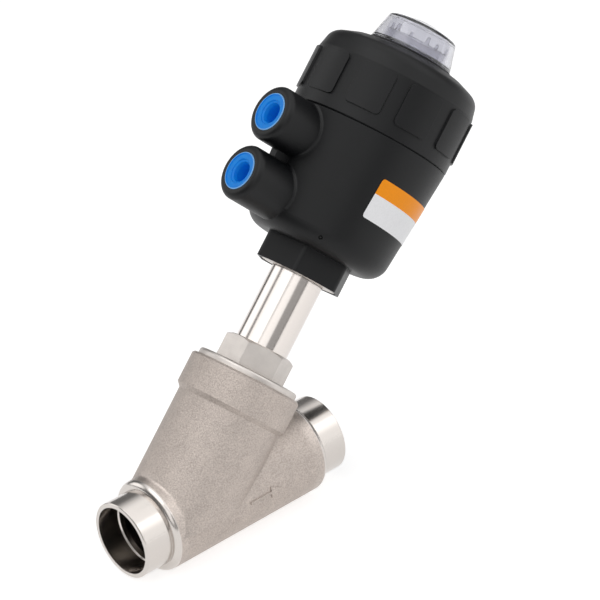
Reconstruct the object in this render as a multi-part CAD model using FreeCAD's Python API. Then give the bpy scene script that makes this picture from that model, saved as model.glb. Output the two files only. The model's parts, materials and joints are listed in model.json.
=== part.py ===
import FreeCAD, Part
import math
import os

# Pneumatic seat valve with an angled stem, weld ends and a turnable plastic actuator.
# Millimetres. The origin is the centre of the inlet weld face, +X runs along the pipe
# to the outlet and +Z is up. What lies on the stem axis is drawn upright, with its
# heights counted from the point where the stem axis meets the pipe axis, and then
# leans over to the outlet side.

# Fits between pieces
RUN_FIT = 0.06          # radial gap of a shaft, rod or piston ring that slides or turns
SEAL_FIT = 0.04         # radial gap between a seal's lip and what slides in it
SEAT_GAP = 0.05         # gap between the seal and the seat when the valve is closed
PUSH_FIT = 0.05         # radial gap of pieces put together by hand
TURN_GAP = 0.15         # end gap that lets the actuator turn on the tube
THREAD_FIT = 0.1        # radial gap drawn between plain threaded diameters
OVERRUN = 1.0           # how far a cut or a join runs past the face that it meets
ON_EDGE = 0.02          # how near an edge lies to the faces that meet in it
EDGE_POINTS = 9         # points of an edge that are looked at

# Weld ends and pipe run
PIPE_RADIUS = 16.85
PIPE_WALL = 2.0
FACE_TO_FACE = 109.2
SPIGOT_LENGTH = 12.8
SPIGOT_BEVEL = 0.35
WELD_BORE_DEPTH = 10.0
BORE_STEP = 0.55
RUN_RADIUS = 20.2
RUN_WALL = 3.6
RUN_END_ROUND = 2.7
TAPER_LENGTH = 5.0

# Angled neck of the casting
STEM_X = 30.3
STEM_LEAN = 45.0
NECK_RADIUS = 22.8
NECK_WALL = 4.6
NECK_FOOT_Z = 1.0
NECK_TOP = 45.5
COLLAR_RADIUS = 24.6
COLLAR_BEVEL = 2.0
COLLAR_HEIGHT = 16.2
COLLAR_TOP_BEVEL = 0.9
THREAD_RADIUS = 19.2
THREAD_DEPTH = 15.6
THREAD_CHAMFER = 1.0

# Seat in the web between inlet and outlet
SEAT_RADIUS = 12.5
SEAT_LIP_WIDTH = 1.9
SEAT_LIP_HEIGHT = 1.1
WEB_TOP = 5.0
WEB_THICKNESS = 4.0

# Raised flow arrow on both sides of the run
ARROW_START_X = 52.7
ARROW_LENGTH = 16.8
ARROW_HEAD = 5.6
ARROW_HEAD_HALF = 2.7
ARROW_LINE_HALF = 0.6
ARROW_RELIEF = 0.45

# Bonnet
GASKET_WIDTH = 2.3
GASKET_THICKNESS = 1.5
FLANGE_RADIUS = 22.3
FLANGE_THICKNESS = 2.8
FLANGE_ROUND = 1.3
BONNET_AF = 27.0
BONNET_HEX_HEIGHT = 11.1
BONNET_CHAMFER = 1.3
BONNET_CHAMFER_INSET = 0.4
BONNET_FLOOR = 3.0
HEX_CORNER_ANGLE = -143.0

# Tube between bonnet and actuator
TUBE_RADIUS = 11.6
TUBE_BORE_RADIUS = 9.0
TUBE_SOCKET_DEPTH = 9.6
TUBE_EXPOSED = 33.0
TUBE_FLANGE_RADIUS = 17.2
TUBE_FLANGE_THICKNESS = 3.4
TUBE_FLANGE_INSET = 0.25
TUBE_FLANGE_BEVEL = 0.4
RECESS_GAP = 0.3
CLIP_THICKNESS = 1.5
CLIP_DEPTH = 1.0
CLIP_WIDTH = 2.6
CLIP_GAP_ANGLE = 40.0
WASHER_THICKNESS = 1.0
WASHER_WIDTH = 3.2
TUBE_END = 1.4
TUBE_CHAMFER = 0.5

# Spindle, packing and guides
SPINDLE_RADIUS = 5.0
SPINDLE_END_RADIUS = 4.0
SPINDLE_CHAMFER = 0.6
PACKING_WIRE = 1.4
PACKING_SPRING_LENGTH = 10.5
PACKING_SPRING_TURNS = 4.0
WIRE_SIDES = 8          # sides of a spring's wire as drawn
PACKING_WASHER_THICKNESS = 1.5
PACKING_RINGS = 4
PACKING_RING_HEIGHT = 2.6
PACKING_RING_ANGLE = 31.0
PACKING_RING_GAP = 0.1
GLAND_LENGTH = 12.0
GLAND_GROOVE_DEPTH = 1.0
GLAND_GROOVE_HEIGHT = 1.0
WIPER_HEIGHT = 2.2
WIPER_OPENING = 1.2
GUIDE_LENGTH = 10.0
ROD_SEAL_WIRE = 1.6
GROOVE_SHARE = 1.2      # height of an O-ring's groove in wire diameters

# Closing disc
DISC_RADIUS = 15.6
DISC_RIM = 1.0
DISC_SKIRT = 2.2
DISC_THICKNESS = 5.0
DISC_HUB_RADIUS = 8.2
DISC_HUB_HEIGHT = 10.0
DISC_CHAMFER = 1.5
HUB_CHAMFER = 1.0
SEAL_THICKNESS = 3.0
SEAL_BORE_RADIUS = 8.0
CLAMP_RADIUS = 11.4
CLAMP_THICKNESS = 2.6
CLAMP_CHAMFER = 1.2
NUT_AF = 13.0
NUT_HEIGHT = 5.0
THREAD_END = 1.5
PIN_RADIUS = 1.25
PIN_INSET = 0.3

# Lower housing of the actuator
HOUSING_HEX_AF = 36.0
HOUSING_HEX_HEIGHT = 11.3
HOUSING_HEX_ROUND = 2.4
HOUSING_CORNER_ANGLE = -156.5
RIM_RADIUS = 35.5
HOUSING_HEIGHT = 53.5
HOUSING_DRAFT = 4.7
BOWL_ROUND = 8.9
FLOOR_THICKNESS = 4.7
SEAL_LEDGE = 3.2
CYLINDER_ROUND = 4.0
RIM_WALL = 3.9
RIM_DEPTH = 8.3
JOINT_BEVEL = 0.45
TUBE_SEAL_WIRE = 2.4
TUBE_SEAL_HEIGHT = 7.0
TUBE_SEAL_SIDE_PLAY = 0.4
TUBE_SEAL_PLAY = 0.1

# Air ports
PORT_ANGLE = 172.0
PORT_LOWER_HEIGHT = 14.1
PORT_SPACING = 26.9
PORT_REACH = 51.5
BOSS_RADIUS = 12.0
BOSS_ROUND = 2.6
BOSS_ROOT_ROUND = 1.2
PORT_THREAD_RADIUS = 5.9
PORT_THREAD_DEPTH = 14.0
PORT_MOUTH_RADIUS = 8.35
PORT_MOUTH_DEPTH = 2.4
PASSAGE_RADIUS = 1.4
PASSAGE_DROP = 4.3
PORT_RIB_WIDTH = 4.0
PORT_RIB_REACH = 40.5
PORT_RIB_OVERLAP = 2.0
PLUG_STEM_LENGTH = 9.5
PLUG_HOLLOW_RADIUS = 4.5
PLUG_CONE = 1.1
PLUG_WALL = 1.2
GATE_ANGLE = -134.3
GATE_RADIUS = 0.9
GATE_DEPTH = 0.6
GATE_LEAN = 115.0

# Cover with grip pads
COVER_RADIUS = 35.6
COVER_WALL = 3.8
COVER_SIDE = 25.0
COVER_SHOULDER_RADIUS = 33.8
COVER_SHOULDER_HEIGHT = 32.8
COVER_CROWN_RADIUS = 25.3
COVER_CROWN_HEIGHT = 36.2
COVER_ROUND = 6.0
COVER_NECK_RADIUS = 18.7
COVER_NECK_FOOT = 37.4
COVER_HEIGHT = 38.3
COVER_TOP_WALL = 3.6
SKIRT_WALL = 2.8
SKIRT_GAP = 0.4
SKIRT_BLEND_FOOT = 2.0
SKIRT_BLEND_TOP = 5.0
PAD_COUNT = 10
PAD_ANGLE = 26.0
PAD_RELIEF = 0.85
PAD_FOOT = 5.6
PAD_HEIGHT = 18.4
PAD_ROUND = 2.0
PAD_OFFSET_ANGLE = -150.0
ROD_BOSS_RADIUS = 7.5
ROD_BOSS_DEPTH = 8.0
SPRING_RING_GAP = 1.2
SPRING_RING_WIDTH = 1.4
SPRING_RING_HEIGHT = 2.0

# Piston and springs
PISTON_CLEARANCE = 0.25
PISTON_REST = 2.4
PISTON_WEB = 5.0
PISTON_RIM = 13.0
PISTON_RIM_WALL = 4.2
PISTON_CHAMFER = 1.0
PISTON_RIM_TAPER = 0.6
PISTON_FILLET = 0.5
PISTON_HUB_RADIUS = 9.5
PISTON_HUB_HEIGHT = 10.0
PISTON_SEAL_HEIGHT = 3.2
PISTON_SEAL_DEPTH = 2.6
PISTON_SEAL_SLOT = 1.6
PISTON_SEAL_LIP = 0.2
PISTON_GUIDE_HEIGHT = 3.0
PISTON_GUIDE_DEPTH = 1.4
PISTON_GUIDE_DROP = 2.0
SPRING_WIRE = 3.4
SPRING_CLEARANCE = 1.75
SPRING_TURNS = 6.0
INNER_WIRE = 2.4
SPRING_SPACING = 4.0
INNER_TURNS = 6.0
SPRING_SEAT_GAP = 0.06

# Position indicator
ROD_RADIUS = 3.0
HEAD_RADIUS = 9.0
HEAD_THICKNESS = 3.0
HEAD_ROUND = 0.8
DOME_SEAT_DEPTH = 3.4
DOME_SEAT_WALL = 3.1
DOME_FOOT_RADIUS = 18.2
DOME_FOOT_HEIGHT = 2.9
DOME_FOOT_STEP = 0.35
DOME_SIDE_RADIUS = 15.3
DOME_SIDE_HEIGHT = 12.2
DOME_HEIGHT = 14.8
DOME_ROUND = 1.6
DOME_CROWN_RADIUS = 6.3
DOME_CROWN_DROP = 0.3
DOME_SHOULDER_DROP = 0.6
DOME_WALL = 2.1
DOME_SEAL_WIRE = 1.3
DOME_SEAL_PLAY = 0.1

# Label on the housing, bare of print
LABEL_START_ANGLE = -114.3
LABEL_ANGLE = 80.0
LABEL_FOOT = 19.4
LABEL_HEIGHT = 19.2
LABEL_THICKNESS = 0.14
LABEL_GLUE = 0.06

# Heights along the stem axis that follow from the sizes above
SEAT_TOP = WEB_TOP + SEAT_LIP_HEIGHT
COLLAR_TOP = NECK_TOP + COLLAR_HEIGHT
BONNET_BOTTOM = COLLAR_TOP - THREAD_DEPTH
FLANGE_TOP = COLLAR_TOP + FLANGE_THICKNESS
BONNET_TOP = FLANGE_TOP + BONNET_HEX_HEIGHT
TUBE_BOTTOM = BONNET_TOP - TUBE_SOCKET_DEPTH
HOUSING_BOTTOM = BONNET_TOP + TUBE_EXPOSED
TUBE_FLANGE_BOTTOM = HOUSING_BOTTOM + TUBE_FLANGE_INSET
TUBE_FLANGE_TOP = TUBE_FLANGE_BOTTOM + TUBE_FLANGE_THICKNESS
BOWL_BOTTOM = HOUSING_BOTTOM + HOUSING_HEX_HEIGHT
FLOOR_TOP = BOWL_BOTTOM + FLOOR_THICKNESS
RIM_TOP = BOWL_BOTTOM + HOUSING_HEIGHT
RIM_SEAT = RIM_TOP - RIM_DEPTH
WASHER_BOTTOM = FLOOR_TOP + TURN_GAP
CLIP_BOTTOM = WASHER_BOTTOM + WASHER_THICKNESS
CLIP_TOP = CLIP_BOTTOM + CLIP_THICKNESS
TUBE_TOP = CLIP_TOP + TUBE_END
PISTON_BOTTOM = TUBE_TOP + PISTON_REST
PISTON_WEB_TOP = PISTON_BOTTOM + PISTON_WEB
PISTON_TOP = PISTON_BOTTOM + PISTON_RIM
HUB_TOP = PISTON_BOTTOM + PISTON_HUB_HEIGHT
SPINDLE_TOP = HUB_TOP + NUT_HEIGHT + THREAD_END
COVER_TOP = RIM_TOP + COVER_HEIGHT
DOME_SEAT = COVER_TOP - DOME_SEAT_DEPTH
SPRING_TOP = DOME_SEAT - COVER_TOP_WALL
HEAD_BOTTOM = DOME_SEAT + TURN_GAP
HEAD_TOP = HEAD_BOTTOM + HEAD_THICKNESS
PORT_LOWER = BOWL_BOTTOM + PORT_LOWER_HEIGHT
PORT_UPPER = PORT_LOWER + PORT_SPACING

# Radii that follow
PIPE_BORE = PIPE_RADIUS - PIPE_WALL
RUN_BORE = RUN_RADIUS - RUN_WALL
CHAMBER_RADIUS = NECK_RADIUS - NECK_WALL
CLIP_GROOVE_RADIUS = TUBE_RADIUS - CLIP_DEPTH
HOUSING_BORE = TUBE_RADIUS + RUN_FIT
RECESS_RADIUS = TUBE_FLANGE_RADIUS + RECESS_GAP
RIM_BORE = RIM_RADIUS - RIM_WALL
CYLINDER_RADIUS = RIM_BORE - SEAL_LEDGE
PISTON_RADIUS = CYLINDER_RADIUS - PISTON_CLEARANCE
SPRING_RADIUS = PISTON_RADIUS - PISTON_RIM_WALL - SPRING_CLEARANCE - SPRING_WIRE / 2
INNER_RADIUS = SPRING_RADIUS - SPRING_WIRE / 2 - SPRING_SPACING - INNER_WIRE / 2
DOME_SEAT_RADIUS = COVER_NECK_RADIUS - DOME_SEAT_WALL
DRAFT_SLOPE = math.tan(math.radians(HOUSING_DRAFT))
FOOT_RADIUS = RIM_RADIUS - (HOUSING_HEIGHT - JOINT_BEVEL) * DRAFT_SLOPE
SQRT3 = math.sqrt(3.0)

nodes = {}


def rounded_wire(points):
    """Closed wire in the XZ plane. A point (x, z, r) is a corner rounded with radius r."""
    corners = []
    count = len(points)
    for i, point in enumerate(points):
        here = FreeCAD.Vector(point[0], 0, point[1])
        radius = point[2] if len(point) > 2 else 0.0
        if radius == 0.0:
            corners.append((here, None, here))
            continue
        before = points[i - 1]
        after = points[(i + 1) % count]
        to_before = (FreeCAD.Vector(before[0], 0, before[1]) - here).normalize()
        to_after = (FreeCAD.Vector(after[0], 0, after[1]) - here).normalize()
        half = to_before.getAngle(to_after) / 2
        reach = radius / math.tan(half)
        centre = here + (to_before + to_after).normalize() * (radius / math.sin(half))
        middle = centre + (here - centre).normalize() * radius
        corners.append((here + to_before * reach, middle, here + to_after * reach))
    edges = []
    for i, (start, middle, end) in enumerate(corners):
        if middle is not None:
            edges.append(Part.Arc(start, middle, end).toShape())
        following = corners[(i + 1) % count][0]
        if end.distanceToPoint(following) > 1e-6:
            edges.append(Part.makeLine(end, following))
    return Part.Wire(edges)


def turned(points, angle=360.0, start=0.0):
    """Solid turned about Z from a closed outline of (radius, height) points."""
    face = Part.Face(rounded_wire(points))
    solid = face.revolve(FreeCAD.Vector(0, 0, 0), FreeCAD.Vector(0, 0, 1), angle)
    solid.rotate(FreeCAD.Vector(0, 0, 0), FreeCAD.Vector(0, 0, 1), start)
    return Part.Solid(solid) if solid.ShapeType == "Shell" else solid


def ring(inner, outer, bottom, top, bevel=0.0):
    """Plain ring about Z with bevelled outer edges."""
    if bevel == 0.0:
        return turned([(inner, bottom), (outer, bottom), (outer, top), (inner, top)])
    return turned([
        (inner, bottom), (outer - bevel, bottom), (outer, bottom + bevel),
        (outer, top - bevel), (outer - bevel, top), (inner, top),
    ])


def rod(radius, bottom, top):
    """Plain cylinder about Z."""
    return Part.makeCylinder(radius, top - bottom, FreeCAD.Vector(0, 0, bottom))


def o_ring(middle_radius, wire, height):
    """Round ring of wire diameter wire about Z, with its centre at height."""
    ring_shape = Part.makeTorus(middle_radius, wire / 2)
    ring_shape.translate(FreeCAD.Vector(0, 0, height))
    return ring_shape


def hexagon(across_flats, bottom, top, corner_angle=0.0, corner_round=0.0):
    """Upright hexagonal prism with one corner at corner_angle and rounded corners."""
    corner = across_flats / SQRT3
    points = []
    for i in range(6):
        turn = math.radians(60 * i + corner_angle)
        points.append((corner * math.cos(turn), corner * math.sin(turn), corner_round))
    wire = rounded_wire(points)
    wire.rotate(FreeCAD.Vector(0, 0, 0), FreeCAD.Vector(1, 0, 0), 90)
    mirror = wire.mirror(FreeCAD.Vector(0, 0, 0), FreeCAD.Vector(0, 0, 1))
    mirror.translate(FreeCAD.Vector(0, 0, bottom))
    return Part.Face(mirror).extrude(FreeCAD.Vector(0, 0, top - bottom))


def chamfered_nut(across_flats, bottom, top, bore, corner_angle=0.0):
    """Hexagonal nut whose corners are turned off at both ends, with a plain bore."""
    flat = across_flats / 2
    corner = across_flats / SQRT3
    drop = (corner - flat) / SQRT3
    outline = [
        (bore, bottom), (flat, bottom), (corner, bottom + drop),
        (corner, top - drop), (flat, top), (bore, top),
    ]
    return hexagon(across_flats, bottom, top, corner_angle).common(turned(outline))


def coil(wire, middle_radius, bottom, top, turns):
    """Compression spring about Z with open ends, drawn with a many-sided wire."""
    pitch = (top - bottom - wire) / turns
    path = Part.makeHelix(pitch, pitch * turns, middle_radius)
    lead = math.atan2(pitch, 2 * math.pi * middle_radius)
    section = []
    for i in range(WIRE_SIDES + 1):
        turn = 2 * math.pi * (i + 0.5) / WIRE_SIDES
        across_wire = wire / 2 * math.cos(turn)
        up_wire = wire / 2 * math.sin(turn)
        section.append(FreeCAD.Vector(
            middle_radius + across_wire, -up_wire * math.sin(lead), up_wire * math.cos(lead),
        ))
    spring = Part.Wire(path.Edges).makePipeShell([Part.makePolygon(section)], True, True)
    spring.translate(FreeCAD.Vector(0, 0, bottom + wire / 2))
    return spring


def across(shape, angle, height):
    """Turns a shape drawn about Z so that it points outwards at angle, at height."""
    moved = shape.copy()
    moved.rotate(FreeCAD.Vector(0, 0, 0), FreeCAD.Vector(0, 1, 0), 90)
    moved.rotate(FreeCAD.Vector(0, 0, 0), FreeCAD.Vector(0, 0, 1), angle)
    moved.translate(FreeCAD.Vector(0, 0, height))
    return moved


def lean(shape):
    """Leans a shape drawn about Z over to the stem axis of the valve."""
    moved = shape.copy()
    moved.rotate(FreeCAD.Vector(0, 0, 0), FreeCAD.Vector(0, 1, 0), STEM_LEAN)
    moved.translate(FreeCAD.Vector(STEM_X, 0, 0))
    return moved


def along_pipe(points):
    """Solid turned about the pipe axis from a closed outline of (radius, x) points."""
    solid = turned(points)
    solid.rotate(FreeCAD.Vector(0, 0, 0), FreeCAD.Vector(0, 1, 0), 90)
    return solid


def on_stem(name, shape):
    """Keeps a piece that was drawn about the upright stem axis."""
    nodes[name] = lean(shape)


def half_space(bottom, top):
    """Large slab about the stem axis between two heights."""
    return lean(rod(2 * FACE_TO_FACE, bottom, top))


def flow_arrow(side):
    """Raised arrow that points to the outlet, on one side (-1 or 1) of the run."""
    head_x = ARROW_START_X + ARROW_LENGTH - ARROW_HEAD
    tip_x = ARROW_START_X + ARROW_LENGTH
    outline = [
        (ARROW_START_X, -ARROW_LINE_HALF), (head_x, -ARROW_LINE_HALF),
        (head_x, -ARROW_HEAD_HALF), (tip_x, 0), (head_x, ARROW_HEAD_HALF),
        (head_x, ARROW_LINE_HALF), (ARROW_START_X, ARROW_LINE_HALF),
    ]
    blank = Part.Face(rounded_wire(outline)).extrude(FreeCAD.Vector(0, side * 2 * RUN_RADIUS, 0))
    face = Part.makeCylinder(
        RUN_RADIUS + ARROW_RELIEF, FACE_TO_FACE, FreeCAD.Vector(0, 0, 0), FreeCAD.Vector(1, 0, 0),
    )
    core = Part.makeCylinder(
        RUN_RADIUS - RUN_WALL / 2, FACE_TO_FACE, FreeCAD.Vector(0, 0, 0), FreeCAD.Vector(1, 0, 0),
    )
    return blank.common(face).cut(core)


def valve_body():
    """Casting: pipe run with machined weld ends, angled neck with collar, web and seat."""
    run_end = FACE_TO_FACE - SPIGOT_LENGTH
    run = along_pipe([
        (0, 0), (PIPE_RADIUS - SPIGOT_BEVEL, 0), (PIPE_RADIUS, SPIGOT_BEVEL),
        (PIPE_RADIUS, SPIGOT_LENGTH), (RUN_RADIUS, SPIGOT_LENGTH, RUN_END_ROUND),
        (RUN_RADIUS, run_end, RUN_END_ROUND), (PIPE_RADIUS, run_end),
        (PIPE_RADIUS, FACE_TO_FACE - SPIGOT_BEVEL), (PIPE_RADIUS - SPIGOT_BEVEL, FACE_TO_FACE),
        (0, FACE_TO_FACE),
    ])
    neck = lean(rod(NECK_RADIUS, -2 * NECK_RADIUS, NECK_TOP + COLLAR_BEVEL))
    neck_start = SPIGOT_LENGTH + RUN_END_ROUND
    keep = Part.makeBox(
        FACE_TO_FACE, 4 * NECK_RADIUS, FACE_TO_FACE,
        FreeCAD.Vector(neck_start, -2 * NECK_RADIUS, NECK_FOOT_Z),
    )
    collar = lean(turned([
        (0, NECK_TOP), (NECK_RADIUS, NECK_TOP), (COLLAR_RADIUS, NECK_TOP + COLLAR_BEVEL),
        (COLLAR_RADIUS, COLLAR_TOP - COLLAR_TOP_BEVEL),
        (COLLAR_RADIUS - COLLAR_TOP_BEVEL, COLLAR_TOP), (0, COLLAR_TOP),
    ]))
    body = run.fuse([neck.common(keep), collar, flow_arrow(-1), flow_arrow(1)])

    cast_bore = PIPE_BORE - BORE_STEP
    wide_start = SPIGOT_LENGTH + TAPER_LENGTH
    wide_end = FACE_TO_FACE - wide_start
    passage = along_pipe([
        (0, -OVERRUN), (PIPE_BORE, -OVERRUN), (PIPE_BORE, WELD_BORE_DEPTH),
        (cast_bore, WELD_BORE_DEPTH + BORE_STEP), (cast_bore, SPIGOT_LENGTH),
        (RUN_BORE, wide_start), (RUN_BORE, wide_end),
        (cast_bore, FACE_TO_FACE - SPIGOT_LENGTH),
        (cast_bore, FACE_TO_FACE - WELD_BORE_DEPTH - BORE_STEP),
        (PIPE_BORE, FACE_TO_FACE - WELD_BORE_DEPTH), (PIPE_BORE, FACE_TO_FACE + OVERRUN),
        (0, FACE_TO_FACE + OVERRUN),
    ])
    inlet = passage.common(half_space(-2 * FACE_TO_FACE, WEB_TOP - WEB_THICKNESS))
    outlet = passage.common(half_space(WEB_TOP, 2 * FACE_TO_FACE))
    chamber = lean(turned([
        (0, WEB_TOP), (CHAMBER_RADIUS, WEB_TOP), (CHAMBER_RADIUS, BONNET_BOTTOM),
        (THREAD_RADIUS, BONNET_BOTTOM), (THREAD_RADIUS, COLLAR_TOP - GASKET_THICKNESS),
        (THREAD_RADIUS + GASKET_WIDTH, COLLAR_TOP - GASKET_THICKNESS),
        (THREAD_RADIUS + GASKET_WIDTH, COLLAR_TOP + OVERRUN), (0, COLLAR_TOP + OVERRUN),
    ]))
    lip = lean(ring(SEAT_RADIUS, SEAT_RADIUS + SEAT_LIP_WIDTH, WEB_TOP - OVERRUN, SEAT_TOP))
    seat_bore = lean(rod(SEAT_RADIUS, WEB_TOP - WEB_THICKNESS - OVERRUN, SEAT_TOP + OVERRUN))
    body = body.cut([inlet, outlet.fuse(chamber)])
    return body.fuse(lip).cut(seat_bore).removeSplitter()


def bonnet():
    """Screwed bonnet with sealing flange, hexagon, packing bore and tube socket."""
    spindle_hole = SPINDLE_RADIUS + RUN_FIT
    floor = BONNET_BOTTOM + BONNET_FLOOR
    thread = THREAD_RADIUS - THREAD_FIT
    hex_foot = FLANGE_TOP - OVERRUN
    outer = turned([
        (0, BONNET_BOTTOM), (thread - THREAD_CHAMFER, BONNET_BOTTOM),
        (thread, BONNET_BOTTOM + THREAD_CHAMFER), (thread, COLLAR_TOP),
        (FLANGE_RADIUS, COLLAR_TOP), (FLANGE_RADIUS, FLANGE_TOP, FLANGE_ROUND), (0, FLANGE_TOP),
    ])
    flat = BONNET_AF / 2
    corner = BONNET_AF / SQRT3
    trim = turned([
        (0, hex_foot), (corner + OVERRUN, hex_foot), (corner + OVERRUN, BONNET_TOP - BONNET_CHAMFER),
        (corner, BONNET_TOP - BONNET_CHAMFER), (flat - BONNET_CHAMFER_INSET, BONNET_TOP), (0, BONNET_TOP),
    ])
    head = hexagon(BONNET_AF, hex_foot, BONNET_TOP, HEX_CORNER_ANGLE).common(trim)
    hollow = turned([
        (0, BONNET_BOTTOM - OVERRUN), (spindle_hole, BONNET_BOTTOM - OVERRUN), (spindle_hole, floor),
        (TUBE_BORE_RADIUS, floor), (TUBE_BORE_RADIUS, TUBE_BOTTOM),
        (TUBE_RADIUS + PUSH_FIT, TUBE_BOTTOM), (TUBE_RADIUS + PUSH_FIT, BONNET_TOP + OVERRUN),
        (0, BONNET_TOP + OVERRUN),
    ])
    return outer.fuse(head).cut(hollow).removeSplitter()


def bonnet_tube():
    """Polished tube from the bonnet up into the housing, with a groove for the clip."""
    return turned([
        (TUBE_BORE_RADIUS, TUBE_BOTTOM), (TUBE_RADIUS, TUBE_BOTTOM), (TUBE_RADIUS, CLIP_BOTTOM),
        (CLIP_GROOVE_RADIUS, CLIP_BOTTOM), (CLIP_GROOVE_RADIUS, CLIP_TOP),
        (TUBE_RADIUS, CLIP_TOP), (TUBE_RADIUS, TUBE_TOP - TUBE_CHAMFER),
        (TUBE_RADIUS - TUBE_CHAMFER, TUBE_TOP), (TUBE_BORE_RADIUS, TUBE_TOP),
    ])


def retaining_ring():
    """Open spring clip in the groove of the tube."""
    outer = CLIP_GROOVE_RADIUS + CLIP_WIDTH
    inner = CLIP_GROOVE_RADIUS + PUSH_FIT
    return turned(
        [(inner, CLIP_BOTTOM), (outer, CLIP_BOTTOM), (outer, CLIP_TOP), (inner, CLIP_TOP)],
        360 - CLIP_GAP_ANGLE, CLIP_GAP_ANGLE / 2,
    )


def packing_ring(bottom):
    """Chevron ring: a V that opens downwards, tight in the bore and on the spindle."""
    inner = SPINDLE_RADIUS + SEAL_FIT
    outer = TUBE_BORE_RADIUS - PUSH_FIT
    middle = (inner + outer) / 2
    rise = (middle - inner) * math.tan(math.radians(PACKING_RING_ANGLE))
    top = bottom + PACKING_RING_HEIGHT - PACKING_RING_GAP - rise
    return turned([
        (inner, bottom), (middle, bottom + rise), (outer, bottom),
        (outer, top), (middle, top + rise), (inner, top),
    ])


def gland_bush(bottom, top):
    """Guide bush above the packing, with two grease grooves inside."""
    inner = SPINDLE_RADIUS + RUN_FIT
    outer = TUBE_BORE_RADIUS - PUSH_FIT
    third = (top - bottom) / 3
    groove = inner + GLAND_GROOVE_DEPTH
    middle = (inner + outer) / 2
    rise = (middle - inner) * math.tan(math.radians(PACKING_RING_ANGLE))
    outline = [(inner, bottom), (middle, bottom + rise), (outer, bottom), (outer, top), (inner, top)]
    for middle_level in (top - third, bottom + third):
        high = middle_level + GLAND_GROOVE_HEIGHT / 2
        low = middle_level - GLAND_GROOVE_HEIGHT / 2
        outline += [(inner, high), (groove, high), (groove, low), (inner, low)]
    return turned(outline)


def guide_bush():
    """Bush in the upper end of the tube, with a groove for the rod seal."""
    bottom = TUBE_TOP - GUIDE_LENGTH
    inner = SPINDLE_RADIUS + RUN_FIT
    groove_height = GROOVE_SHARE * ROD_SEAL_WIRE
    groove_bottom = TUBE_TOP - GUIDE_LENGTH / 2 - groove_height / 2
    groove_top = groove_bottom + groove_height
    groove = inner + ROD_SEAL_WIRE
    return turned([
        (inner, bottom), (TUBE_BORE_RADIUS - PUSH_FIT, bottom),
        (TUBE_BORE_RADIUS - PUSH_FIT, TUBE_TOP), (inner, TUBE_TOP), (inner, groove_top),
        (groove, groove_top), (groove, groove_bottom), (inner, groove_bottom),
    ])


def build_valve_half():
    """Everything that stays with the casting."""
    nodes["valve_body"] = valve_body()
    on_stem("body_gasket", ring(
        THREAD_RADIUS + PUSH_FIT, THREAD_RADIUS + GASKET_WIDTH - PUSH_FIT,
        COLLAR_TOP - GASKET_THICKNESS, COLLAR_TOP,
    ))
    on_stem("bonnet", bonnet())
    on_stem("bonnet_tube", bonnet_tube())
    on_stem("tube_flange", ring(
        TUBE_RADIUS, TUBE_FLANGE_RADIUS, TUBE_FLANGE_BOTTOM, TUBE_FLANGE_TOP, TUBE_FLANGE_BEVEL,
    ))
    on_stem("thrust_washer", ring(
        TUBE_RADIUS + PUSH_FIT, TUBE_RADIUS + WASHER_WIDTH, WASHER_BOTTOM, CLIP_BOTTOM,
    ))
    on_stem("retaining_ring", retaining_ring())

    level = BONNET_BOTTOM + BONNET_FLOOR
    spring_radius = (SPINDLE_RADIUS + TUBE_BORE_RADIUS) / 2
    on_stem("packing_spring", coil(
        PACKING_WIRE, spring_radius, level, level + PACKING_SPRING_LENGTH, PACKING_SPRING_TURNS,
    ))
    level += PACKING_SPRING_LENGTH
    on_stem("packing_washer", ring(
        SPINDLE_RADIUS + RUN_FIT, TUBE_BORE_RADIUS - PUSH_FIT, level, level + PACKING_WASHER_THICKNESS,
    ))
    level += PACKING_WASHER_THICKNESS
    for i in range(PACKING_RINGS):
        on_stem("packing_ring_%d" % (i + 1), packing_ring(level))
        level += PACKING_RING_HEIGHT
    gland_top = level + GLAND_LENGTH
    on_stem("gland_bush", gland_bush(level - PACKING_RING_GAP, gland_top))
    on_stem("wiper_ring", turned([
        (SPINDLE_RADIUS + WIPER_OPENING, gland_top), (TUBE_BORE_RADIUS - PUSH_FIT, gland_top),
        (TUBE_BORE_RADIUS - PUSH_FIT, gland_top + WIPER_HEIGHT),
        (SPINDLE_RADIUS + SEAL_FIT, gland_top + WIPER_HEIGHT),
    ]))
    on_stem("guide_bush", guide_bush())
    on_stem("rod_seal", o_ring(
        SPINDLE_RADIUS + SEAL_FIT + ROD_SEAL_WIRE / 2, ROD_SEAL_WIRE, TUBE_TOP - GUIDE_LENGTH / 2,
    ))


def disc_holder():
    """Disc that carries the seal, with a thin rim round it and a hub for the spindle."""
    bottom = SEAT_TOP + SEAT_GAP + SEAL_THICKNESS
    top = bottom + DISC_THICKNESS
    hub_top = top + DISC_HUB_HEIGHT
    holder = turned([
        (SPINDLE_RADIUS + PUSH_FIT, bottom), (DISC_RADIUS - DISC_RIM, bottom),
        (DISC_RADIUS - DISC_RIM, bottom - DISC_SKIRT), (DISC_RADIUS, bottom - DISC_SKIRT),
        (DISC_RADIUS, top - DISC_CHAMFER), (DISC_RADIUS - DISC_CHAMFER, top),
        (DISC_HUB_RADIUS, top, DISC_CHAMFER), (DISC_HUB_RADIUS, hub_top - HUB_CHAMFER),
        (DISC_HUB_RADIUS - HUB_CHAMFER, hub_top),
        (SPINDLE_RADIUS + PUSH_FIT, hub_top),
    ])
    hole = rod(PIN_RADIUS + PUSH_FIT, -2 * DISC_RADIUS, 2 * DISC_RADIUS)
    return holder.cut(across(hole, 90, top + DISC_HUB_HEIGHT / 2))


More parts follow.
